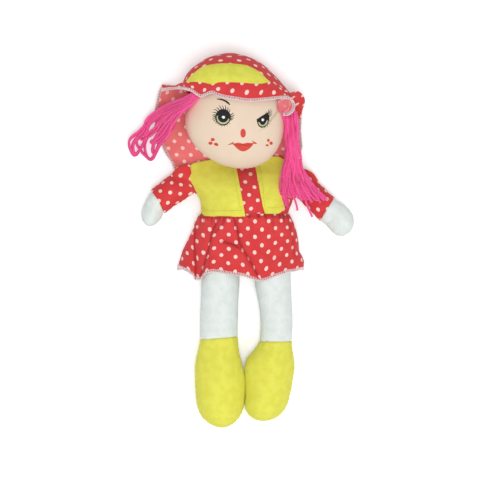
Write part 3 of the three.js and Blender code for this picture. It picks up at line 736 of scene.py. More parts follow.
# Cuffs: how far on the hem lies at the arm's outer and inner sides.
# Palms, from the cuff: how much wider each side is
ARMS = {
    "right": dict(
        hem=(0.4, 3.2), palm=[[0, 0, 0], [6, -0.9, 0], [22, -1.1, -0.4], [32, -0.4, 0]],
        out=-1, seam=14, reach=45.5, drop=50, cuff=0.57, hand=23.8, fuller=(1.4, 26),
        route=[
            [0, 0, 0], [0.06, 0.09, 0.02], [0.19, 0.25, 0.15], [0.57, 0.72, 0.47], [0.62, 0.78, 0.512],
            [0.74, 0.87, 0.66], [1, 1, 1],
        ],
    ),
    "left": dict(
        hem=(-1.7, 3.0),
        palm=[[0, 0, 0.5], [5, 0.4, 1.5], [12, 2.2, 1.7], [20, 3.0, 1.6], [28, 2.4, 2.2], [35, 1.6, 2.4]],
        out=1, seam=10.5, reach=50, drop=55.5, cuff=0.53, hand=25, fuller=(-2.6, 13),
        route=[
            [0, 0, 0], [0.06, 0.09, 0.02], [0.255, 0.28, 0.235], [0.53, 0.57, 0.51], [0.71, 0.78, 0.66], [1, 1, 1],
        ],
    ),
}


def arm_form(side):
    total = math.hypot(side["reach"], side["drop"])
    near = SEAM / 2 / total

    def spot(s):
        out, down = between(side["route"], s)
        return side["out"] * (SHOULDER_X + out * side["reach"]), side["seam"] - down * side["drop"]

    def at(s):
        x, y = spot(s)
        (x0, y0), (x1, y1) = spot(s - near), spot(s + near)
        sleeve = s < side["cuff"]
        share = s / side["cuff"] if sleeve else (s - side["cuff"]) / (1 - side["cuff"])
        half, up, down, edge = between(SLEEVE_SHARES if sleeve else HAND_SHARES, share)
        turn = math.atan2(0, side["out"]) if s < near else math.atan2(y1 - y0, x1 - x0)
        width = SLEEVE_WIDTH if sleeve else side["hand"]
        return x, y, SHOULDER_Z, turn, half * width, up * ARM_DEPTH, min(down * ARM_DEPTH, SHOULDER_Z + 0.5), edge

    return {"floor": 0, "at": at, "length": total, "cuff": side["cuff"]}


def slanted(side, form, grid, stations):
    """Rings of an arm whose hem runs askew, as in the photograph."""
    lean = side["out"] * np.sin(np.arange(grid.shape[1]) / grid.shape[1] * TAU)
    ahead = np.where(lean > 0, side["hem"][0], side["hem"][1]) * np.abs(lean)
    for ring, s in zip(grid, stations):
        turn = form["at"](s)[3]
        near = bell((s - form["cuff"]) * form["length"], 10)
        ring[:, :2] += near * ahead[:, None] * np.array((math.cos(turn), math.sin(turn)))
    return grid


# Legs and boots


def trimmed(side, grid, runs):
    """Rings of a leg moved as the photograph shows them, and its ankle seam tilted."""
    outward = math.copysign(1, side["hip"])
    for ring, run in zip(grid, runs):
        ring[:, 0] -= outward * between(side["trims"], run)[0]
        across = 2 * (ring[:, 0] - ring[:, 0].mean()) / np.ptp(ring[:, 0])
        ring[:, 1] += side["tilt"] * (1 - outward * across) * bell(run - side["leg"], 12)
    return grid


def to_the_tip(start, count, power):
    """Stations from a share of a form to its tip, where they crowd."""
    return start + (1 - start) * np.minimum(1 - (1 - np.linspace(0, 1, count)) ** power, 0.9995)


for side_name, side in LEGS.items():
    form, body, seed = leg_form(side), f"{side_name}_leg", side["hip"]
    ankle, total, ankle_mm = form["ankle"], form["length"], side["leg"]

    def fuller(s, angles):
        return between(side["trims"], s * total)[1] * np.abs(np.cos(angles))

    def leg_detail(s, angles):
        run = s * total
        grow = 0.35 * lumps(angles, 9, 9, run * 0.6, 14, seed) + seam_groove(angles, run, 20, 0.6, 1.0, 0.2, 6.0)
        grow += 0.3 * np.sin(9 * angles + seed) * math.exp(-abs(run - ankle_mm) / 4)
        return grow + fuller(s, angles) - 0.9 * bell(run - ankle_mm, 1.1)

    def boot_detail(s, angles):
        run = s * total - ankle_mm
        around = 20 + 6 * min(1, run / 30)
        grow = 0.7 * lumps(angles, 16, 16, run, 22, 5 + seed) + seam_groove(angles, run, around, 0.8, 1.1, 0.3, 5.5)
        grow += 0.35 * np.sin(11 * angles + seed) * math.exp(-run / 5) + 1.1 * smooth(run / 20)
        return grow + fuller(s, angles) - 0.6 * bell(run, 1.1) - 0.25 * bell(run - 6, 1.2)

    stations = np.concatenate([[0, 0.008, 0.016, 0.03, 0.042], np.linspace(0.06, 1, 70)]) * ankle
    grid = trimmed(side, form_grid(form, stations, 64, leg_detail), stations * total)
    leg = closed_tube(f"leg_{side_name}_cloth", grid, WHITE)
    bends = ("torso", body, (side["hip"], HIP_Y, HIP), (side["hip"], HIP_Y - 9, HIP))
    declare(leg, (f"leg_{side_name}", f"leg_filling_{side_name}"), bends)
    stations = to_the_tip(ankle, 72, 1.25)
    grid = trimmed(side, form_grid(form, stations, 72, boot_detail), stations * total)
    boot = closed_tube(f"boot_{side_name}_felt", grid, YELLOW)
    declare(boot, (f"boot_{side_name}",), body)

# Arms

for side_name, side in ARMS.items():
    form, body, out, seam = arm_form(side), f"{side_name}_arm", side["out"], side["seam"]
    total, cuff = form["length"], form["cuff"]
    cuff_mm = cuff * total

    def sleeve_detail(s, angles):
        run = s * total
        more, middle = side["fuller"]
        grow = 0.45 * lumps(angles, 12, 12, run * 0.8, 9, seam) + seam_groove(angles, run, 15, 0.5, 1.0, 0.25, 5.0)
        grow += 0.4 * np.sin(13 * angles + seam) * math.exp(-run / 7) * min(1, run / 3)
        grow += more * np.maximum(0, out * np.cos(angles)) * bell(run - middle, 9)
        return grow + 1.8 * smooth((run - cuff_mm + 12) / 10) - 0.35 * bell(run - cuff_mm + 3.2, 0.6)

    def hand_detail(s, angles):
        run = (s - cuff) * total
        lean = out * np.cos(angles)
        outer, inner = between(side["palm"], run)
        grow = 0.3 * lumps(angles, 12, 12, run, 12, 3 + seam) + seam_groove(angles, run, 12, 0.5, 0.9, 0.2, 5.0)
        grow += 0.2 * np.sin(9 * angles) * math.exp(-run / 4)
        return grow + np.where(lean > 0, outer, inner) * np.abs(lean)

    stations = np.concatenate([[0, 0.02, 0.04, 0.07, 0.1], np.linspace(0.13, 1, 48)]) * cuff
    grid = slanted(side, form, form_grid(form, stations, 72, sleeve_detail), stations)
    lower = smooth((seam + 3 - grid[..., 1]) / 18) * smooth(1 - stations * total / 14)[:, None]
    grid[..., 0] -= out * 7.4 * lower
    fold = grid[-1].mean(0) + (grid[-1] - grid[-1].mean(0)) * 0.93
    sleeve = closed_tube(f"sleeve_{side_name}_cloth", np.concatenate([grid, [fold]]), RED)
    bends = ("torso", body, (out * 58.5, seam, SHOULDER_Z), (out * 66.5, seam, SHOULDER_Z))
    declare(sleeve, (f"sleeve_{side_name}", f"arm_filling_{side_name}"), bends)
    stations = to_the_tip(cuff, 48, 1.3)
    grid = slanted(side, form, form_grid(form, stations, 56, hand_detail), stations)
    hand = closed_tube(f"hand_{side_name}_cloth", grid, WHITE)
    declare(hand, (f"hand_{side_name}",), body)

# Dress bodice and waistcoat

VEST_TOP, WAIST, PLACKET_WIDTH, PLACKET_LEAN = 31.5, -24, 20, 10


def torso_share(y):
    return (TORSO_TOP - y) / TORSO_LENGTH


def bodice_detail(s, angles):
    return 0.3 * lumps(angles, 30, 20, s * 90, 16, 2)


bodice = closed_tube("bodice_cloth", form_grid(TORSO, np.linspace(0, 1, 70), 96, bodice_detail), LEANING)
declare(bodice, ("dress_bodice", "torso_filling"), "torso")


def placket_angle(side):
    def angle(s):
        x, _, _, _, half, *_ = torso_at(s)
        share = (s - torso_share(VEST_TOP)) / (torso_share(WAIST) - torso_share(VEST_TOP))
        return math.acos((PLACKET_LEAN * share + side * PLACKET_WIDTH / 2 - x) / half)

    return angle


def vest_grid(panel, columns, grow):
    """Felt on the bodice between two edges, from its top line to its lower one."""
    start, end, top_line, low_line = panel

    def point(j, i):
        y = top_line(i) + (low_line(i) - top_line(i)) * j
        s = torso_share(y)
        angle = start(s) + (end(s) - start(s)) * i
        flare = 2.7 * smooth((-15 - y) / 10) * max(0, math.sin(angle))
        return ring_of(TORSO, s, np.array([angle]), grow + flare)[0]

    return woven(np.linspace(0, 1, 60), np.linspace(0, 1, columns), point)


SIDE = 0.03 * TAU


def rounded(x, first, radius):
    """How far a rounded corner's edge has risen at x."""
    return radius - math.sqrt(radius**2 - min(max(0, x - first), 0.98 * radius) ** 2)


LEFT_PANEL = (
    lambda s: SIDE + 0.4 * smooth((s - 0.36) / 0.2), placket_angle(1),
    lambda i: 38.3 - 8 * smooth(1 - i / 0.3), lambda i: -23.4 + rounded(50 * math.cos(0.59 + 0.54 * i), 33.5, 8),
)
RIGHT_PANEL = (
    placket_angle(-1), lambda s: math.pi - SIDE,
    lambda i: 38.3 - 8 * smooth((i - 0.7) / 0.3),
    lambda i: -26.4 - 0.7 * math.sin(3 * i) + rounded(-47 * math.cos(1.57 + 1.38 * i), 36.5, 9.6),
)
BACK_PANEL = (
    lambda s: math.pi + SIDE, lambda s: TAU - SIDE - 0.4 * smooth((s - 0.36) / 0.2),
    lambda i: VEST_TOP, lambda i: -24,
)
VESTS = [
    ("vest_front_left", LEFT_PANEL, 64, (0.046, 0.06)),
    ("vest_front_right", RIGHT_PANEL, 72, (0.056, 0.064)),
    ("vest_back", BACK_PANEL, 96, (0.112, 0.056)),
]
STITCH, STITCH_PITCH, VEST_GAP = 2.2, 2.9, 0.35
stitches = []
for node, panel, columns, flat in VESTS:
    outer, inner, sewn = (vest_grid(panel, columns, VEST_GAP + rise) for rise in (FELT, 0, FELT + 0.12))
    ripple = 0.16 * wobble(outer, 7, 9)[..., None] * normals_of(outer)
    vest = sheet_piece(f"{node}_felt", outer + ripple, inner + ripple, [YELLOW])
    declare(vest, (node,), "torso")
    lines = {
        "vest_front_left": [sewn[-7, 3:-3], sewn[3:-6, -5]],
        "vest_front_right": [sewn[-7, 3:-3], sewn[3:-6, 4]],
        "vest_back": [sewn[-7]],
    }
    for stitch_line in lines[node]:
        fine = curve(stitch_line, 400)
        length = run_of(fine)
        for start_mm in np.arange(0, length[-1] - STITCH, STITCH_PITCH):
            stitch = on_line(fine, length, np.linspace(start_mm, start_mm + STITCH, 6))
            stitch[:, 2] += 0.12 * np.sin(np.linspace(0, math.pi, 6)) * np.sign(stitch[:, 2].mean() - 8)
            stitches.append(stitch)
declare(strands_piece("vest_stitching", stitches, 0.27, SEWING), (), "torso")

# Skirt


def top_of(form, s, x):
    """Height of a stuffed form's front over a place across it. Beside the form it falls to the bed."""
    cx, _, z, _, half, up, _, edge = form["at"](s)
    beside = 1 - smooth((abs(x - cx) - half) / 9)
    return (z + up * np.maximum(0, 1 - ((x - cx) / half) ** 2) ** (edge / 2)) * beside


LEG_FORMS = {name: leg_form(side) for name, side in LEGS.items()}


def body_height(x, y):
    height = top_of(TORSO, min(1, torso_share(y)), x)
    for form in LEG_FORMS.values():
        s = (HIP_Y - HIP_GAP - y) / form["length"]
        if s > 0:
            height = max(height, top_of(form, s, x))
    return height


def over(a, b, soft=1.5):
    return 0.5 * (a + b + np.sqrt((a - b) ** 2 + soft**2))


def near_line(points, x, y):
    """Signed distance to a line of points, and how far along it the nearest place lies."""
    best, found, run = 1e9, (0, 0), 0
    total = np.sum(np.linalg.norm(np.diff(points, axis=0), axis=1))
    for a, b in zip(points, points[1:]):
        d = b - a
        length = math.hypot(*d)
        t = min(1, max(0, ((x - a[0]) * d[0] + (y - a[1]) * d[1]) / length**2))
        off = math.hypot(x - a[0] - t * d[0], y - a[1] - t * d[1])
        if off < best:
            side = d[0] * (y - a[1]) - d[1] * (x - a[0])
            best, found = off, (math.copysign(off, side), (run + t * length) / total)
        run += length
    return found


SKIRT_LEFT = line(
    (200.4, 213), (197.5, 217), (194, 227), (190, 235), (186, 243), (182, 251), (180, 258), (178, 264),
    (177, 267.5),
)
SKIRT_RIGHT = line(
    (288.6, 213), (290.5, 216), (294, 223), (297, 232), (299, 242), (299.5, 250), (303, 256), (304.5, 260),
    (304, 269),
)
SKIRT_HEM = line(
    (177, 267.5), (182, 269), (188, 272), (193, 275), (195, 279), (198, 280), (201, 279), (202.5, 276.5),
    (206, 273), (212, 271.5), (220, 272), (230, 274), (240, 275), (246, 276.5), (253, 279), (258, 280.5),
    (264, 280.5), (270, 278), (278, 275), (288, 272), (296, 271), (304, 269),
)
# Creases: their line, how deep and wide they are, the rise of the cloth to their left, how much painted
# shade darkens them and how much cloth they hide
CREASES = [
    (
        line((216, 214), (217, 222), (212.5, 232), (210, 243), (208, 252), (204, 266), (200, 277)),
        3.4, 1.4, 1.6, 0.75, 4,
    ),
    (
        line((233, 216), (236, 225), (238.5, 235), (239.5, 243), (244, 251), (250, 261), (257, 274)),
        3.2, 1.4, -1.4, 0.7, 3,
    ),
    (line((217, 241), (224, 242), (232, 244), (238, 247), (243, 251)), 3.0, 1.3, -1.4, 0.75, 0),
    (line((196, 214), (195, 228), (194, 245), (195, 262), (196, 278)), 3.6, 1.5, -2.2, 0.75, 5),
    (line((226, 216), (223, 224), (216, 231), (213, 238)), 1.6, 1.1, 0.6, 0.5, 0),
    (line((286, 212), (290, 225), (293, 240), (294, 252), (297, 262)), 2.0, 1.6, 1.2, 0.55, 3),
    (line((272, 214), (273, 224), (275, 236)), 1.4, 1.3, 0.5, 0.35, 0),
    (line((255, 250), (268, 256), (282, 258)), 0.8, 3.0, -0.5, 0.12, 0),
    (line((207, 275), (209, 262), (213, 254)), 1.2, 1.6, 0.8, 0.4, 0),
]
GATHERS = [
    (201.5, 9), (204.5, 12), (208.5, 8), (212.5, 13), (220, 10), (224, 12), (229.5, 9), (237.5, 8), (242, 7),
    (249, 6), (258, 6), (265, 7), (279, 8), (283, 11), (287, 8),
]
SKIRT_TOP = [[0, 42.2], [0.12, 41.2], [0.35, 37.5], [0.6, 34.4], [0.8, 33.6], [1, 33.4]]
SKIRT_EDGE = [[0, 1.3], [0.2, 1.2], [0.5, 1.1], [1, 1.05]]
SKIRT_WAIST = -23.4


def folds_at(x, y):
    """What the creases and gathers do at a place: the cloth's lift, its painted shade and how much cloth they hide.
    """
    lift, dark, tucked = 0.0, 0.0, 0.0
    for points, deep, wide, step, shade, hides in CREASES:
        off, along = near_line(points, x, y)
        fade = smooth((1 - along) / 0.3) if points[-1, 1] > -82 else 1
        if points[0, 1] < -35:
            fade *= smooth(along / 0.25)
        lift += fade * (step * (1 + math.tanh(off)) * math.exp(-abs(off) / 7) - deep * math.exp(-abs(off) / wide))
        # Painted shade along the crease's valley
        dark = max(dark, fade * shade * bell(off, 1.25))
        tucked += fade * hides * 0.5 * (1 - math.tanh(off / 0.7))
    for px, reach in GATHERS:
        gx, gy = place(px, 214.5)
        down = (gy - y) / (reach * PIXEL)
        fade = smooth(1 - down)
        off = x - gx - 0.12 * (gy - y) * (px - 235) / 30
        lift += fade * 2.0 * (0.5 - math.exp(-abs(off)))
        # Painted shade in the gathers' valleys
        dark = max(dark, min(1, 1.6 * fade) * 0.9 * bell(off, 1.15))
    return lift, dark, tucked


def skirt_point(v, turn):
    """Turn 0 is the doll's right side, half a turn its left side, with the front between them. The last
    three values are the place's painted crease shade, its hidden cloth and its height without creases."""
    y = SKIRT_WAIST + v * (SKIRT_HEM[0, 1] - SKIRT_WAIST)
    left = np.interp(-y, -SKIRT_LEFT[:, 1], SKIRT_LEFT[:, 0])
    right = np.interp(-y, -SKIRT_RIGHT[:, 1], SKIRT_RIGHT[:, 0])
    x = (left + right) / 2 - (right - left) / 2 * math.cos(turn)
    hem_x = -4.8 - 67.7 * math.cos(turn)
    rise = math.sin(turn)
    side = 15 - 12.4 * smooth(1.15 * v)
    if rise < 0:
        hem = -84 - 1.5 * math.sin(3 * turn)
        z = max(0.25, side - (side - 0.25) * (-rise) ** 0.5)
        return x, SKIRT_WAIST + (hem - SKIRT_WAIST) * v, z, 0, 0, z
    y = SKIRT_WAIST + (np.interp(hem_x, SKIRT_HEM[:, 0], SKIRT_HEM[:, 1]) - SKIRT_WAIST) * v
    (top,), (edge,) = between(SKIRT_TOP, v), between(SKIRT_EDGE, v)
    smooth_z = side + (top - side) * rise**edge
    lift, dark, tucked = folds_at(x, y)
    front = rise**0.5 * smooth(0.1 + v / 0.16)
    z = smooth_z + lift * front - 2.8 * (1 - smooth(v / 0.11))
    z += 0.5 * wobble((x, y, 0), 13, 4) * min(1, 3 * v) * rise
    z = over(z, body_height(x, y) + 1.7 * min(1, 0.45 + 6 * v), 0.8)
    return x, y, z, dark * rise**0.5, tucked * rise, smooth_z


ARCS = ((-0.5, 0, 44), (0, 1, 190), (1, 1.5, 45))
turns = np.concatenate([np.linspace(a * math.pi, b * math.pi, count)[:-1] for a, b, count in ARCS])
skirt_rows = woven(np.linspace(0, 1, 64), turns, skirt_point)
outer = skirt_rows[..., :3]
inner = outer + COTTON * normals_of(outer, True)
inner[..., 2] = np.maximum(inner[..., 2], 0.5)
pattern = np.stack([skirt_rows[..., 0] - skirt_rows[..., 4], skirt_rows[..., 1], skirt_rows[..., 5]], 2)
skirt = sheet_piece("skirt_cloth", outer, inner, [RED, REVERSE], wrap=True, pattern=pattern)
# Painted shade in the creases and gathers, on the printed side only
painted_crease_shade = skirt_rows[..., 3].ravel()
paint(skirt, "shade", np.concatenate([painted_crease_shade, painted_crease_shade * 0]))
first_normals(skirt)
GAP_X, GAP_RAMP, WAIST_RAMP = 1.65, 9, (-27, -53)
hem_edge, hem_in = (outer[-1] + inner[-1]) / 2, outer[-5] - outer[-1]
skirt_parts = []
for side_name, out in (("right", -1), ("left", 1)):
    body = f"{side_name}_leg"
    middle, waist = ((GAP_X, 0, 0), (out, 0, 0)), (GAP_X, WAIST_RAMP[0], 0)
    slant = np.array([-(WAIST_RAMP[0] - WAIST_RAMP[1]) * out, -GAP_RAMP, 0.0])
    mine = [k for k in range(len(turns)) if out * (hem_edge[k, 0] - GAP_X) > -0.6]
    mine.sort(key=lambda k: (turns[k] + (math.pi if out < 0 else 0)) % TAU)
    across = ("torso", body, (GAP_X, 0, 0), (GAP_X + out * GAP_RAMP, 0, 0))
    down = ("torso", body, (0, WAIST_RAMP[0], 0), (0, WAIST_RAMP[1], 0))
    inner_part = part_of(skirt, f"skirt_middle_{side_name}", middle, (waist, slant))
    outer_part = part_of(skirt, f"skirt_side_{side_name}", middle, (waist, -slant))
    hem = overlock(f"skirt_hem_{side_name}", hem_edge[mine], hem_in[mine])
    for part, bends in ((inner_part, across), (outer_part, down), (hem, across)):
        declare(part, () if skirt_parts else ("skirt",), bends)
        skirt_parts.append(part)
bpy.data.objects.remove(skirt)

# Head and neck

HEAD_X, HEAD_Y, HEAD_MID, HEAD_HALF, HEAD_UP, HEAD_DOWN = -10.7, 76.8, 37.5, 53, 64, 52.5
FACE_DEPTH, NAPE_DEPTH, JAW = 31.15, 36.4, 8
FACE_CREASE = line((279, 110.5), (275, 116), (270, 122), (264, 129), (257, 134))


def nearer(point, height):
    """A place read from the photograph, moved for its height above the bed."""
    far = (EYE.z / MM - height) / EYE_FAR
    return EYE.x / MM + (point[0] - EYE.x / MM) * far, EYE.y / MM + (point[1] - EYE.y / MM) * far


def face_detail(x, y):
    off, along = near_line(FACE_CREASE, x, y)
    crease = 0.5 * bell(off + 3.5, 2.5) - 1.4 * bell(off, 1.2) - 0.3 * bell(off - 3.5, 2.5)
    return crease * smooth(along / 0.1) * smooth((1 - along) / 0.5) + 0.35 * wobble((x, y, 0), 24, 8)


def face_height(x, y):
    """Height of the face's cloth over a place in the plane of the bed."""
    low = min(0, (y - HEAD_Y) / HEAD_DOWN)
    tall = HEAD_UP if y > HEAD_Y else HEAD_DOWN
    q = ((x - HEAD_X - JAW * low**2) / HEAD_HALF) ** 2 + ((y - HEAD_Y) / tall) ** 2
    return HEAD_MID + FACE_DEPTH * math.sqrt(max(0, 1 - q)) + face_detail(x, y) * smooth(4 * (1 - q))


def seen_at(px, py):
    """The place on the face under a pixel."""
    x, y = place(px, py)
    for _ in range(4):
        z = face_height(x, y)
        x, y = nearer(place(px, py), z)
    return x, y, z


def head_point(dip, angle):
    """A dip of 0 is the middle of the face, a quarter turn its seam and half a turn the nape."""
    reach, level, rise = math.sin(dip), math.cos(dip), math.sin(angle)
    off = (dip - math.pi / 2) * 36
    seam = 0.25 * math.sin(TAU * angle * 55 / 5.5) * bell(off, 4) - 0.9 * bell(off, 1.3)
    x = HEAD_X + JAW * min(0, rise * reach) ** 2 + (HEAD_HALF + seam) * reach * math.cos(angle)
    y = HEAD_Y + ((HEAD_UP if rise > 0 else HEAD_DOWN) + seam) * reach * rise
    if level < 0:
        return x, y, max(1.6, HEAD_MID + NAPE_DEPTH * level)
    return x, y, HEAD_MID + FACE_DEPTH * level + face_detail(x, y) * smooth(4 * level**2)


dips = np.concatenate([np.linspace(0.02, 1, 54), 1 + np.linspace(0, 0.98, 46)[1:]]) * math.pi / 2
head = closed_tube("head_cloth", woven(dips, np.arange(120) / 120 * TAU - math.pi / 2, head_point), SKIN)
spots = np.empty(len(head.data.vertices) * 3)
head.data.vertices.foreach_get("co", spots)
spots = spots.reshape(-1, 3) / MM
by_corner = spots[[loop.vertex_index for loop in head.data.loops], :2]
head.data.uv_layers["cloth"].data.foreach_set("uv", (by_corner * MM).ravel())
x, y, z = spots.T
low = (y - HEAD_Y) / HEAD_DOWN
out_share = np.sqrt(((x - HEAD_X - JAW * np.minimum(0, low) ** 2) / HEAD_HALF) ** 2 + low**2 * 0.3)
# Painted reflection of the pink hair on the face beside the looped hank, and the face pinker towards its edge
hair_x, hair_y = place(186, 104)
painted_hair_glow = bell(x - hair_x, 15) * bell(y - hair_y, 16)
paint(head, "hair_glow_and_edge_pink", np.clip(0.75 * painted_hair_glow + 0.5 * smooth((out_share - 0.84) / 0.16), 0, 1))
# Painted shade along the face's crease, over the groove that face_detail presses in
off, along = np.array([near_line(FACE_CREASE, *spot) for spot in spots[:, :2]]).T
painted_face_crease_shade = 0.6 * bell(off, 0.9) * smooth(along / 0.1) * smooth((1.1 - along) / 0.7) * (z > HEAD_MID)
paint(head, "shade", painted_face_crease_shade)
declare(head, ("face_panel", "head_back_panel", "head_filling"), "head")

# Printed face, in pixels of the photograph


def ellipse(px, py, rx, ry, lean=0.0, sides=28):
    angles = np.arange(sides) / sides * TAU
    x, y = rx * np.cos(angles), ry * np.sin(angles)
    return np.stack([px + x * math.cos(lean) - y * math.sin(lean), py + x * math.sin(lean) + y * math.cos(lean)], 1)


def stroke(points, widths):
    """The outline of a line of ink whose width changes along it."""
    middle = curve(points, 14)
    wide = np.interp(np.linspace(0, 1, 14), np.linspace(0, 1, len(widths)), widths)[:, None] / 2
    along = unit(np.gradient(middle, axis=0))
    side = np.stack([-along[:, 1], along[:, 0]], 1)
    return np.concatenate([middle + side * wide, (middle - side * wide)[::-1]])


def printed(name, shapes, material):
    """Shapes of ink, each a little above the cloth, with its edge turned down into it."""
    points, faces, uvs = [], [], []
    for outline, lift in shapes:
        ends = np.concatenate([outline, outline[:1]])
        counts = [max(2, int(np.linalg.norm(b - a) / 0.7) + 1) for a, b in zip(ends, ends[1:])]
        rim = np.concatenate([np.linspace(a, b, n)[:-1] for a, b, n in zip(ends, ends[1:], counts)])
        low, high = rim.min(0), rim.max(0)
        inside = [(x, y) for x in np.arange(low[0], high[0], 0.9) for y in np.arange(low[1], high[1], 0.9)]
        flat = [Vector(p) for p in [*rim.tolist(), *inside]]
        loop = [(k, (k + 1) % len(rim)) for k in range(len(rim))]
        spots, _, triangles, *_ = geometry.delaunay_2d_cdt(flat, loop, [], 1, 1e-5)
        start = len(points)
        top = [seen_at(p.x, p.y) for p in spots]
        points += [(x, y, z + lift) for x, y, z in top]
        sides = []
        for face in triangles:
            face = face[::-1]
            faces.append(tuple(start + k for k in face))
            uvs += [top[k][:2] for k in face]
            sides += zip(face, face[1:] + face[:1])
        under, known = {}, set(sides)
        for a, b in sides:
            if (b, a) in known:
                continue
            for k in (a, b):
                if k not in under:
                    under[k] = len(points)
                    points.append((top[k][0], top[k][1], top[k][2] - 0.25))
            faces.append((start + b, start + a, under[a], under[b]))
            uvs += [top[b][:2], top[a][:2], top[a][:2], top[b][:2]]
    declare(new_piece(name, points, faces, uvs, [material], closed=False), (), "head")


EYE_R, EYE_L = (223.1, 117.3), (262.8, 120.2)
LID = [
    (256.5, 119.5), (262.6, 115.4), (268, 112.6), (269.3, 116), (269.3, 120.2), (268, 124), (265.1, 127),
    (261.5, 127.9), (258.8, 126.3), (257.3, 123.3),
]
BROW = [(216.9, 99.1), (219.8, 99.2), (222.8, 99.9), (225.9, 101.3), (228, 102.9), (229.8, 104.8)]
CRESCENT_L = [
    (258, 122.3), (259.4, 125.3), (262, 126.7), (265.1, 125.7), (267.2, 123), (268, 120.2), (266.8, 120.2),
    (265.9, 122.4), (264.4, 124.3), (262.4, 125.1), (260.6, 124.2), (259.4, 122.1),
]
RIGHT_LASHES = [(16, 11.2), (4, 11.6), (-8, 11), (-20, 10), (172, 10.6), (184, 11.2), (197, 10.4), (212, 9.6)]
LEFT_LASHES = [(-2, 6.2, 8.6), (-26, 5.6, 8.4), (-48, 5.8, 8.2), (-70, 6.2, 8.4)]
UPPER_LASHES = [10.6, 11.4, 12.2, 11.8, 12.8, 12, 12.6, 11.6, 11]
CORNER_LASHES = [
    ((267.8, 113), (268.6, 109.3)), ((268.4, 113.4), (270.8, 109)), ((268.8, 114.2), (272.2, 110.4)),
    ((269, 115.4), (272.4, 112.6)), ((269, 116.6), (271.8, 114.8)), ((265.5, 114), (266.2, 111.4)),
]


def iris_edge(wide, tall, lower, start, end):
    angles = np.radians(np.linspace(start, end, 18))
    return [(EYE_R[0] + wide * math.cos(a), EYE_R[1] + lower + tall * math.sin(a)) for a in angles]


def lash(eye, angle, near, far, width=0.5, bend=8):
    tip, root, mid = (math.radians(angle + bend * k) for k in (1, 0, 0.3))
    reaches = ((near, root), ((near + far) / 2, mid), (far, tip))
    at = [(eye[0] + r * math.cos(a), eye[1] - r * math.sin(a)) for r, a in reaches]
    return stroke(at, [width, width * 0.8, width * 0.35])


black = [
    (ellipse(*EYE_R, 7.7, 8.3), 0.1),
    (np.array(LID), 0.1),
    (stroke(BROW, [0.7, 1.3, 1.6, 1.7, 1.8, 1.1]), 0.1),
    *((lash(EYE_R, angle, 7.2, far, 1.1), 0.07) for angle, far in RIGHT_LASHES),
    *((lash(EYE_L, angle, near, far, 0.8, -6), 0.07) for angle, near, far in LEFT_LASHES),
]
grey = [
    *((lash(EYE_R, angle, 7.6, far, 1.0), 0.06) for angle, far in zip(range(42, 166, 15), UPPER_LASHES)),
    *((lash(EYE_R, angle, 7.6, 9.6, 0.5, -5), 0.06) for angle in range(228, 320, 18)),
    *((stroke([a, (a[0] / 2 + b[0] / 2 + 0.4, a[1] / 2 + b[1] / 2), b], [0.75, 0.6, 0.3]), 0.06)
        for a, b in CORNER_LASHES),
]
LIPS = [
    (232.6, 143.7), (235.9, 143.1), (238.5, 142.7), (241.2, 143.2), (243.1, 143.7), (245, 143.2),
    (247.7, 142.7), (251.2, 143), (253.9, 142.8), (252.7, 145.1), (250.8, 147.4), (248.1, 149.7), (245, 151.2),
    (242.7, 151.5), (239.7, 150.6), (237, 148.5), (234.7, 146.2),
]
red = [
    (np.array(LIPS), 0.1),
    (stroke([(228, 144.8), (230.5, 144), (233.2, 143.5)], [0.5, 1.2, 1.5]), 0.08),
    (stroke([(231.4, 143.7), (232.8, 142.7), (234, 142.1)], [1.0, 0.9, 0.5]), 0.08),
    (stroke([(253.4, 143.1), (255.3, 143.3), (257.2, 143.7)], [1.5, 1.1, 0.4]), 0.08),
    (stroke([(252.2, 140.8), (253.8, 142.2), (256, 142.8)], [0.6, 1.0, 0.8]), 0.08),
    (ellipse(243.1, 133.2, 2.7, 4.5), 0.1),
    *((ellipse(*spot), 0.09) for spot in (
        (212.8, 139.6, 2.0, 1.6), (210.5, 143.2, 2.1, 1.6), (216.2, 144.4, 2.3, 1.5, 0.3), (268.4, 140.4, 1.3, 1.6),
        (271.1, 143.2, 1.6, 1.7, 0.4), (267.2, 145.3, 1.5, 1.1),
    )),
]
printed("face_print_black", black, BLACK)
printed("face_print_grey", grey, SHADE)
printed("face_print_red", red, LIP)
lip_line = stroke([(234, 144.4), (238, 145.2), (243, 144.8), (248, 145.3), (252.4, 144.2)], [0.3, 0.6, 0.6, 0.6, 0.3])
printed("face_print_lip_line", [(lip_line, 0.16)], DEEP_LIP)
iris = iris_edge(6.5, 6.7, 0.3, 196, 14) + iris_edge(5.3, 5.3, -0.1, 14, 196)
printed("face_print_green", [(np.array(iris), 0.14), (np.array(CRESCENT_L), 0.14)], GREEN)
glints = [ellipse(EYE_R[0] + 0.3, EYE_R[1] - 0.1, 1.6, 1.4), ellipse(EYE_L[0], EYE_L[1] - 0.4, 1.3, 1.4)]
printed("face_print_white", [(glint, 0.16) for glint in glints], GLINT)

NECK = [[0, 7, 26, 11], [0.5, 13, 24, 12], [1, 18, 26, 13]]


def neck_point(v, angle):
    z, half, deep = between(NECK, v)
    across = half * math.cos(angle) * (1 + 0.02 * math.sin(14 * angle) * (1 - v))
    return across, 34 + 16 * v, max(2.2, z + deep * 0.7 * math.sin(angle))


neck = closed_tube("neck_cloth", woven(np.linspace(0, 1, 20), np.arange(48) / 48 * TAU, neck_point), SKIN)
declare(neck, ("neck",), ("torso", "neck", (0, 36, 0), (0, 44, 0)))

# Hat

CROWN_X, RIM_Y, CROWN_HEIGHT, CROWN_WIDTH = -9, 105, 42, 112
CROWN_FRONT, CROWN_BACK, CROWN_LEAN = 34.5, 35.5, 8
CROWN_SHARES = [
    [0, 0, 0.5, 1, 1],
    [0.15, 0.38, 0.482, 0.98, 0.98],
    [0.3, 0.65, 0.455, 0.95, 0.95],
    [0.57, 0.9, 0.375, 0.77, 0.77],
    [0.73, 0.85, 0.3, 0.6, 0.6],
    [0.89, 0.95, 0.19, 0.37, 0.37],
    [1, 0.9, 0.03, 0.08, 0.08],
]


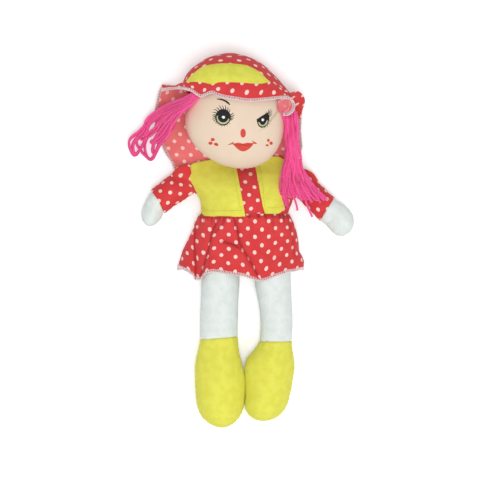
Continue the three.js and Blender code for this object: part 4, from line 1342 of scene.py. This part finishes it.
def crown_at(s):
    lean, half, up, down = between(CROWN_SHARES, s)
    x, y = CROWN_X - lean * CROWN_LEAN, RIM_Y + s * CROWN_HEIGHT
    return x, y, HEAD_MID, math.pi / 2, half * CROWN_WIDTH, up * CROWN_FRONT, down * CROWN_BACK, 1


CROWN = {"floor": 1.6, "at": crown_at}


def crown_height(x, y):
    return float(top_of(CROWN, (y - RIM_Y) / CROWN_HEIGHT, x))


def crown_detail(s, angles):
    gathers = 0.55 * np.sin(17 * angles + 2 * np.sin(3 * angles))
    gathers *= math.exp(-s / 0.25) + 0.6 * smooth((s - 0.7) / 0.3)
    front = smooth((np.sin(angles) - 0.2) / 0.4) * (s < 0.75)
    return (gathers + 0.6 * lumps(angles, 45, 45, s * 44, 17, 12)) * (1 - 0.7 * front)


crown_grid = form_grid(CROWN, 1 - (1 - np.linspace(0, 0.9999, 60)) ** 1.5, 140, crown_detail)
crown_cloth = closed_tube("hat_crown_cloth", crown_grid, RED, caps=(False, True), round_cut=True)
crown_cloth.modifiers.new("thickness", "SOLIDIFY").thickness = COTTON * MM
declare(crown_cloth, ("hat_crown",), "head")

PANEL_LOW = line(
    (184.5, 82.6), (200, 83), (211, 85), (220, 82.7), (240, 82.7), (255, 83.5), (262, 84.7), (270.5, 82),
)
PANEL_HIGH = line(
    (184.5, 82.4), (190, 76), (200, 67.5), (210, 64.3), (222, 63), (240, 64), (250, 66.5), (260, 72), (266, 78),
    (270.5, 81.8),
)
panel_lows, panel_highs = curve(PANEL_LOW, 90) - (0, 4), curve(PANEL_HIGH, 90)


def panel_point(v, k):
    x, y = nearer(panel_lows[k] + (panel_highs[k] - panel_lows[k]) * v, 60)
    edge = min(1, 8 * min(v, 1 - v) + 0.01)
    return x, y, crown_height(x, y) + 1.2 * edge**0.5 + 0.2 * wobble((x, y, 0), 12, 3) - 0.2


panel_top = woven(np.linspace(0, 1, 30), range(90), panel_point)
panel = sheet_piece("hat_panel_felt", panel_top, panel_top - (0, 0, 0.7), [YELLOW])
declare(panel, ("hat_front_panel",), "head")

BRIM_TOP = line(
    (161.7, 84.5), (168, 85), (174.5, 85.3), (183.7, 82.2), (201, 82.2), (212.2, 84.3), (221.4, 82.2),
    (241.8, 82.8), (261.2, 83.8), (271, 82), (279, 87), (286, 91), (290, 94),
)
BRIM_HEM = line(
    (162, 91), (170.4, 89.5), (180.6, 89), (190.8, 91), (196.9, 95), (201, 97), (206.1, 95), (211.2, 93),
    (217.3, 95.5), (224.5, 97.5), (236.7, 99.5), (246.9, 101), (257.1, 100.7), (267.3, 99.7), (276.5, 98.7),
    (287, 97),
)
brim_tops, brim_hems = curve(BRIM_TOP, 200), curve(BRIM_HEM, 200)


def brim_point(v, k):
    z = 60
    for _ in range(3):
        x, y = nearer(brim_tops[k] + (brim_hems[k] - brim_tops[k]) * v, z)
        under = over(crown_height(x, max(y, RIM_Y)), face_height(x, y) if abs(x - HEAD_X) < 52 else 0, 2)
        z = over(under + 1.3 - 1.2 * v, 5 + 64 * max(0, 1 - ((x - CROWN_X) / 82) ** 2), 2)
        z += (0.3 + 1.0 * v) * math.sin(k / 200 * TAU * 5.5 + 0.8) + 0.9 * math.sin(math.pi * v)
    return x, y, z


brim_top = woven(np.linspace(0, 1, 16), range(200), brim_point)
brim_under = brim_top - COTTON * normals_of(brim_top) * np.sign(normals_of(brim_top)[..., 2:])
brim = sheet_piece("hat_brim_cloth", brim_top, brim_under, [RED, REVERSE])
hat_hem = [overlock("hat_brim_hem", brim_top[-1], brim_top[-4] - brim_top[-1])]

# Curl at the end of the brim: a small dish that shows the cloth's reverse
CURL_Z, CURL_R = 52, 9.4
CURL_X, CURL_Y = nearer(place(285.7, 106.2), CURL_Z)


def curl_point(r, angle):
    wave = 0.9 * r * math.cos(5 * angle + 1) + 3.4 * r**2 - 1.2 * bell(r, 0.3)
    x, y = CURL_R * r * math.cos(angle), 1.02 * CURL_R * r * math.sin(angle)
    return CURL_X + x, CURL_Y + y, CURL_Z + wave + 3 * r * math.sin(angle)


curl_top = woven(np.linspace(0.04, 1, 14), np.arange(72) / 72 * TAU, curl_point)
curl = sheet_piece("hat_curl_cloth", curl_top, curl_top - (0, 0, COTTON), [CURLED], wrap=True)
ring, ring_inside = (np.concatenate([curl_top[row, 50:], curl_top[row, :26]]) for row in (-1, -4))
hat_hem.append(overlock("hat_curl_hem", ring, ring_inside - ring))

# Lobe of the brim that turns down behind the curl to the back flap
LOBE_OUT = line(
    (282, 88), (289, 92.4), (294, 91.6), (298, 91.2), (302, 93.8), (304.8, 99), (304.4, 105), (302, 111),
    (301.5, 118),
)
LOBE_IN = line(
    (279, 93), (284, 97), (286, 99), (288, 101), (290, 103), (291, 106), (291, 110), (291, 114), (291, 119),
)
lobe_outs, lobe_ins = curve(LOBE_OUT, 60), curve(LOBE_IN, 60)


def lobe_point(v, k):
    t = k / 59
    height = 56 * (1 - smooth(t)) + 9 * smooth(t) - 6 * v * (1 - t)
    x, y = nearer(lobe_outs[k] + (lobe_ins[k] - lobe_outs[k]) * v, height)
    return x, y, height + 0.9 * math.sin(9 * t + 2 * v) * math.sin(math.pi * t)


lobe_top = woven(np.linspace(0, 1, 14), range(60), lobe_point)
lobe = sheet_piece("hat_lobe_cloth", lobe_top, lobe_top - (0, 0, COTTON), [RED, REVERSE])
for piece in (brim, curl, lobe, *hat_hem):
    declare(piece, () if piece in hat_hem else ("hat_brim",), "head")

# Back flap: it lies on the bed behind the head and under the shoulders, its printed side down
FLAP_LEFT = line(
    (161, 86), (158.5, 92), (156.5, 100), (154.8, 108), (154.3, 116), (155.8, 127), (158.5, 137), (162, 146),
    (166, 154), (171, 162), (174.5, 170),
)
FLAP_RIGHT = line(
    (303, 98), (303, 106), (302, 114), (301.5, 122), (301, 130), (301.8, 138), (302.5, 145), (301.5, 151),
    (300, 156), (298, 160), (295, 163), (292, 166),
)
flap_lefts, flap_rights = curve(FLAP_LEFT, 80), curve(FLAP_RIGHT, 80)


def flap_point(k, u):
    v, bow = k / 79, math.sin(math.pi * u)
    x, y = flap_lefts[k] + (flap_rights[k] - flap_lefts[k]) * u
    y += 10 * bow * (1 - v) - 4 * bow**2 * v
    side = max(0, abs(u - 0.5) - 0.3) / 0.2
    ripple = 3.4 + 1.6 * math.sin(9 * v + 4 * u) + (4 if u < 0.5 else 2.5) * (1 - v) ** 2
    hold = 1 - smooth((41 - y) / 6) * smooth((0.52 - abs(u - 0.5)) / 0.12)
    return x, y, 0.95 + max(0, side**2 * ripple + side * 0.8 * math.sin(16 * v)) * hold


flap_top = woven(range(80), np.linspace(0, 1, 150), flap_point)
flap = sheet_piece("hat_flap_cloth", flap_top, flap_top - (0, 0, COTTON), [REVERSE, RED])
rims = [(flap_top[:, 0], flap_top[:, 4]), (flap_top[-1, 1:], flap_top[-5, 1:])]
rims.append((flap_top[::-1, -1][1:], flap_top[::-1, -5][1:]))
rim, rim_inside = (np.concatenate(edge) for edge in zip(*rims))
flap_hem = overlock("hat_flap_hem", rim - (0, 0, COTTON / 2), rim_inside - rim)
TURN_Y = 46.5
flap_parts = []
for whole in (flap, flap_hem):
    first_normals(whole)
    bends = {
        "upper": ("head", "neck", (0, 60, 0), (0, TURN_Y + 1, 0)),
        "lower": ("neck", "torso", (0, TURN_Y - 1, 0), (0, 35, 0)),
    }
    for half, towards in (("upper", 1), ("lower", -1)):
        part = part_of(whole, f"{whole.name}_{half}", ((0, TURN_Y, 0), (0, towards, 0)))
        declare(part, () if flap_parts else ("hat_back_flap", "hat_flap_end"), bends[half])
        flap_parts.append(part)
    bpy.data.objects.remove(whole)

# Hair

RNG = np.random.default_rng(7)
STRAND_RADIUS, STRAND_DEPTH, FACE_GAP = 1.25, 2.4, 1.7


def strand_height(px, py, rows):
    """Height of a strand at a pixel: from the hank's own rows, and never in the face."""
    z = float(np.interp(py if rows is LONG_HEIGHTS else px, *np.transpose(rows)))
    x, y = nearer(place(px, py), z)
    inside = ((x - HEAD_X) / HEAD_HALF) ** 2 + ((y - HEAD_Y) / HEAD_UP) ** 2 < 0.97
    return max(z, face_height(x, y) + FACE_GAP) if inside else z


def hank_piece(name, strands):
    return strands_piece(name, strands, STRAND_RADIUS, PINK, RNG.uniform(0, 1, len(strands)), 8, 6, 0.25)


# Looped hank: strands run out under the brim, turn in loops and come back
HANK_HEIGHTS = [
    (128, 8), (140, 10), (152, 15), (160, 21), (168, 29), (176, 39), (184, 48), (192, 55), (203, 60),
]
LONG_HEIGHTS = [
    (104, 36), (111, 42), (118, 45), (130, 41), (150, 35), (160, 33), (168, 32.5), (180, 33), (190, 33),
    (200, 31), (207, 29), (219, 27),
]
GUIDES = [
    (3, [
        (203, 94), (190, 98), (176, 103), (163, 108.5), (153, 114.5), (146, 121), (143.5, 127), (138, 132.5),
        (130.5, 138), (128.5, 143), (130, 149.5), (133, 154.5), (136.5, 154), (139.5, 150), (142, 146.5),
        (145, 141), (146, 135), (147.5, 128), (153, 121), (162, 114), (178, 105.5), (198, 97),
    ]),
    (3, [
        (202, 95), (188, 100), (174, 105), (160, 112), (151, 119), (146, 127), (141, 134), (136, 139),
        (133.5, 143.5), (133, 149), (134.5, 153.5), (137.5, 153), (140.5, 148.5), (144, 143), (146.5, 137),
        (149, 134), (156, 129), (163, 121), (175, 112), (192, 102),
    ]),
    (4, [
        (203, 97), (189, 103), (176, 110), (166, 117), (158, 124), (155.5, 130), (150, 135), (147, 140),
        (145.5, 146), (146, 152), (148, 157), (150.5, 159.5), (153.5, 157.5), (156, 152), (158.5, 147.5),
        (163, 142.5), (168, 135), (171, 127), (176, 118), (186, 108), (198, 100),
    ]),
    (3, [
        (202, 96), (187, 101), (172, 107), (159, 115), (150, 122.5), (145, 130), (141, 136), (137, 141),
        (137.5, 145), (140, 149.5), (143.5, 154), (147.5, 158), (150, 160), (153, 158.5), (156, 153),
        (159.5, 146), (165, 139.5), (169, 131), (173, 122), (184, 110), (199, 99),
    ]),
    (4, [
        (203, 98), (190, 104), (178, 111), (170, 119), (163, 127), (158, 134), (154.5, 140), (153, 146),
        (152.3, 151.5), (153.5, 154.5), (156, 151), (158, 146), (162, 140), (166.5, 134), (170, 126),
        (177, 116), (190, 105),
    ]),
    (4, [
        (203, 95), (186, 101), (170, 108), (157, 116), (149, 123), (147.5, 129), (145, 133.5), (141, 137.5),
        (143, 139.5), (147, 137.5), (151, 135.5), (156, 131.5), (161, 125), (168, 116.5), (182, 107), (199, 98),
    ]),
    (4, [
        (202, 98), (187, 106), (176, 114.5), (168, 124), (162, 133), (156, 139.5), (151.5, 142), (153, 143.5),
        (158, 141.5), (164, 136.5), (170.5, 128.5), (173.5, 120), (180, 111.5), (194, 102),
    ]),
]


def strand_from(guide, count, stray, rows):
    """A strand that follows a guide of pixels, with its own stray from it."""
    phase = RNG.uniform(0, TAU, 6)
    shift = RNG.normal(0, stray, 2)
    high = RNG.uniform(-1, 1)
    looped = rows is HANK_HEIGHTS
    path = []
    for k, (px, py) in enumerate(curve(guide, count)):
        t = k / (count - 1)
        near_root = smooth(min(t, 1 - t) / 0.12) if looped else smooth(t / 0.1)
        loose = 0.35 + 0.65 * near_root
        if looped:
            loose *= 1 - 0.62 * smooth((0.26 - abs(t - 0.48)) / 0.12)
        px += (shift[0] + stray * 0.6 * math.sin(9 * t + phase[0]) + 0.4 * math.sin(27 * t + phase[1])) * loose
        py += (shift[1] + stray * 0.6 * math.sin(8 * t + phase[2]) + 0.4 * math.sin(25 * t + phase[3])) * loose
        lift, sunk = STRAND_DEPTH, 0
        if looped:
            py -= 5 * (1 - near_root)
            x, y = place(px, py)
            sunk = 8 * smooth((y - np.interp(x, BRIM_HEM[:, 0], BRIM_HEM[:, 1]) + 2) / 4)
            lift *= 1 - 0.7 * smooth((px - 186) / 10)
        z = strand_height(px, py, rows) - sunk + lift * (1 + high) + lift * 0.5 * math.sin(10 * t + phase[4])
        path.append((*nearer(place(px, py), z), max(z, 1.6)))
    return np.array(path)


loops = [strand_from(guide, 200, 1.5, HANK_HEIGHTS) for count, guide in GUIDES for _ in range(count)]
declare(hank_piece("hair_right_yarn", loops), ("hair_right",), "head")

# Loose hank: strands that hang over the shoulder and spread on the sleeve. Rows are height and its two sides
SPREAD = [
    (104, 282, 291), (112, 282, 296.5), (120, 285.5, 297.5), (130, 284.5, 299), (150, 284, 301),
    (160, 284, 302), (168, 282, 304), (175, 281, 307), (182, 280.5, 311), (190, 280.5, 317.5), (198, 281, 325),
    (205, 281.5, 330), (219, 284, 336),
]
strands = []
for n in range(46):
    share = (n + 0.5) / 46
    last = {14: 209, 26: 219}.get(n, 206 if share < 0.18 else 197 if share < 0.42 else 201) + RNG.uniform(-3, 1)
    first = RNG.uniform(0.02, 0.98)
    guide = []
    for py in np.linspace(107, last, 12):
        left, right = (np.interp(py, [r[0] for r in SPREAD], [r[k] for r in SPREAD]) for k in (1, 2))
        guide.append((left + (right - left) * (first + (share - first) * smooth((py - 125) / 55)), py))
    strands.append(strand_from(guide, 150, 0.95, LONG_HEIGHTS))
long_hank = hank_piece("hair_left_yarn", strands)
first_normals(long_hank)
HANK_PARTS = [
    ("top", [(58, 1)], ("head", "neck", (0, 80, 0), (0, 62, 0))),
    ("middle", [(58, -1), (30, 1)], ("neck", "torso", (0, 55, 0), (0, 33, 0))),
    ("end", [(30, -1)], ("torso", "left_arm", (58.5, 0, 0), (67, 0, 0))),
]
parts = []
for name, cuts, bends in HANK_PARTS:
    planes = [((0, y, 0), (0, way, 0)) for y, way in cuts]
    parts.append((part_of(long_hank, f"hair_left_{name}", *planes), bends))
bpy.data.objects.remove(long_hank)
for part, bends in parts:
    declare(part, ("hair_left",), bends)
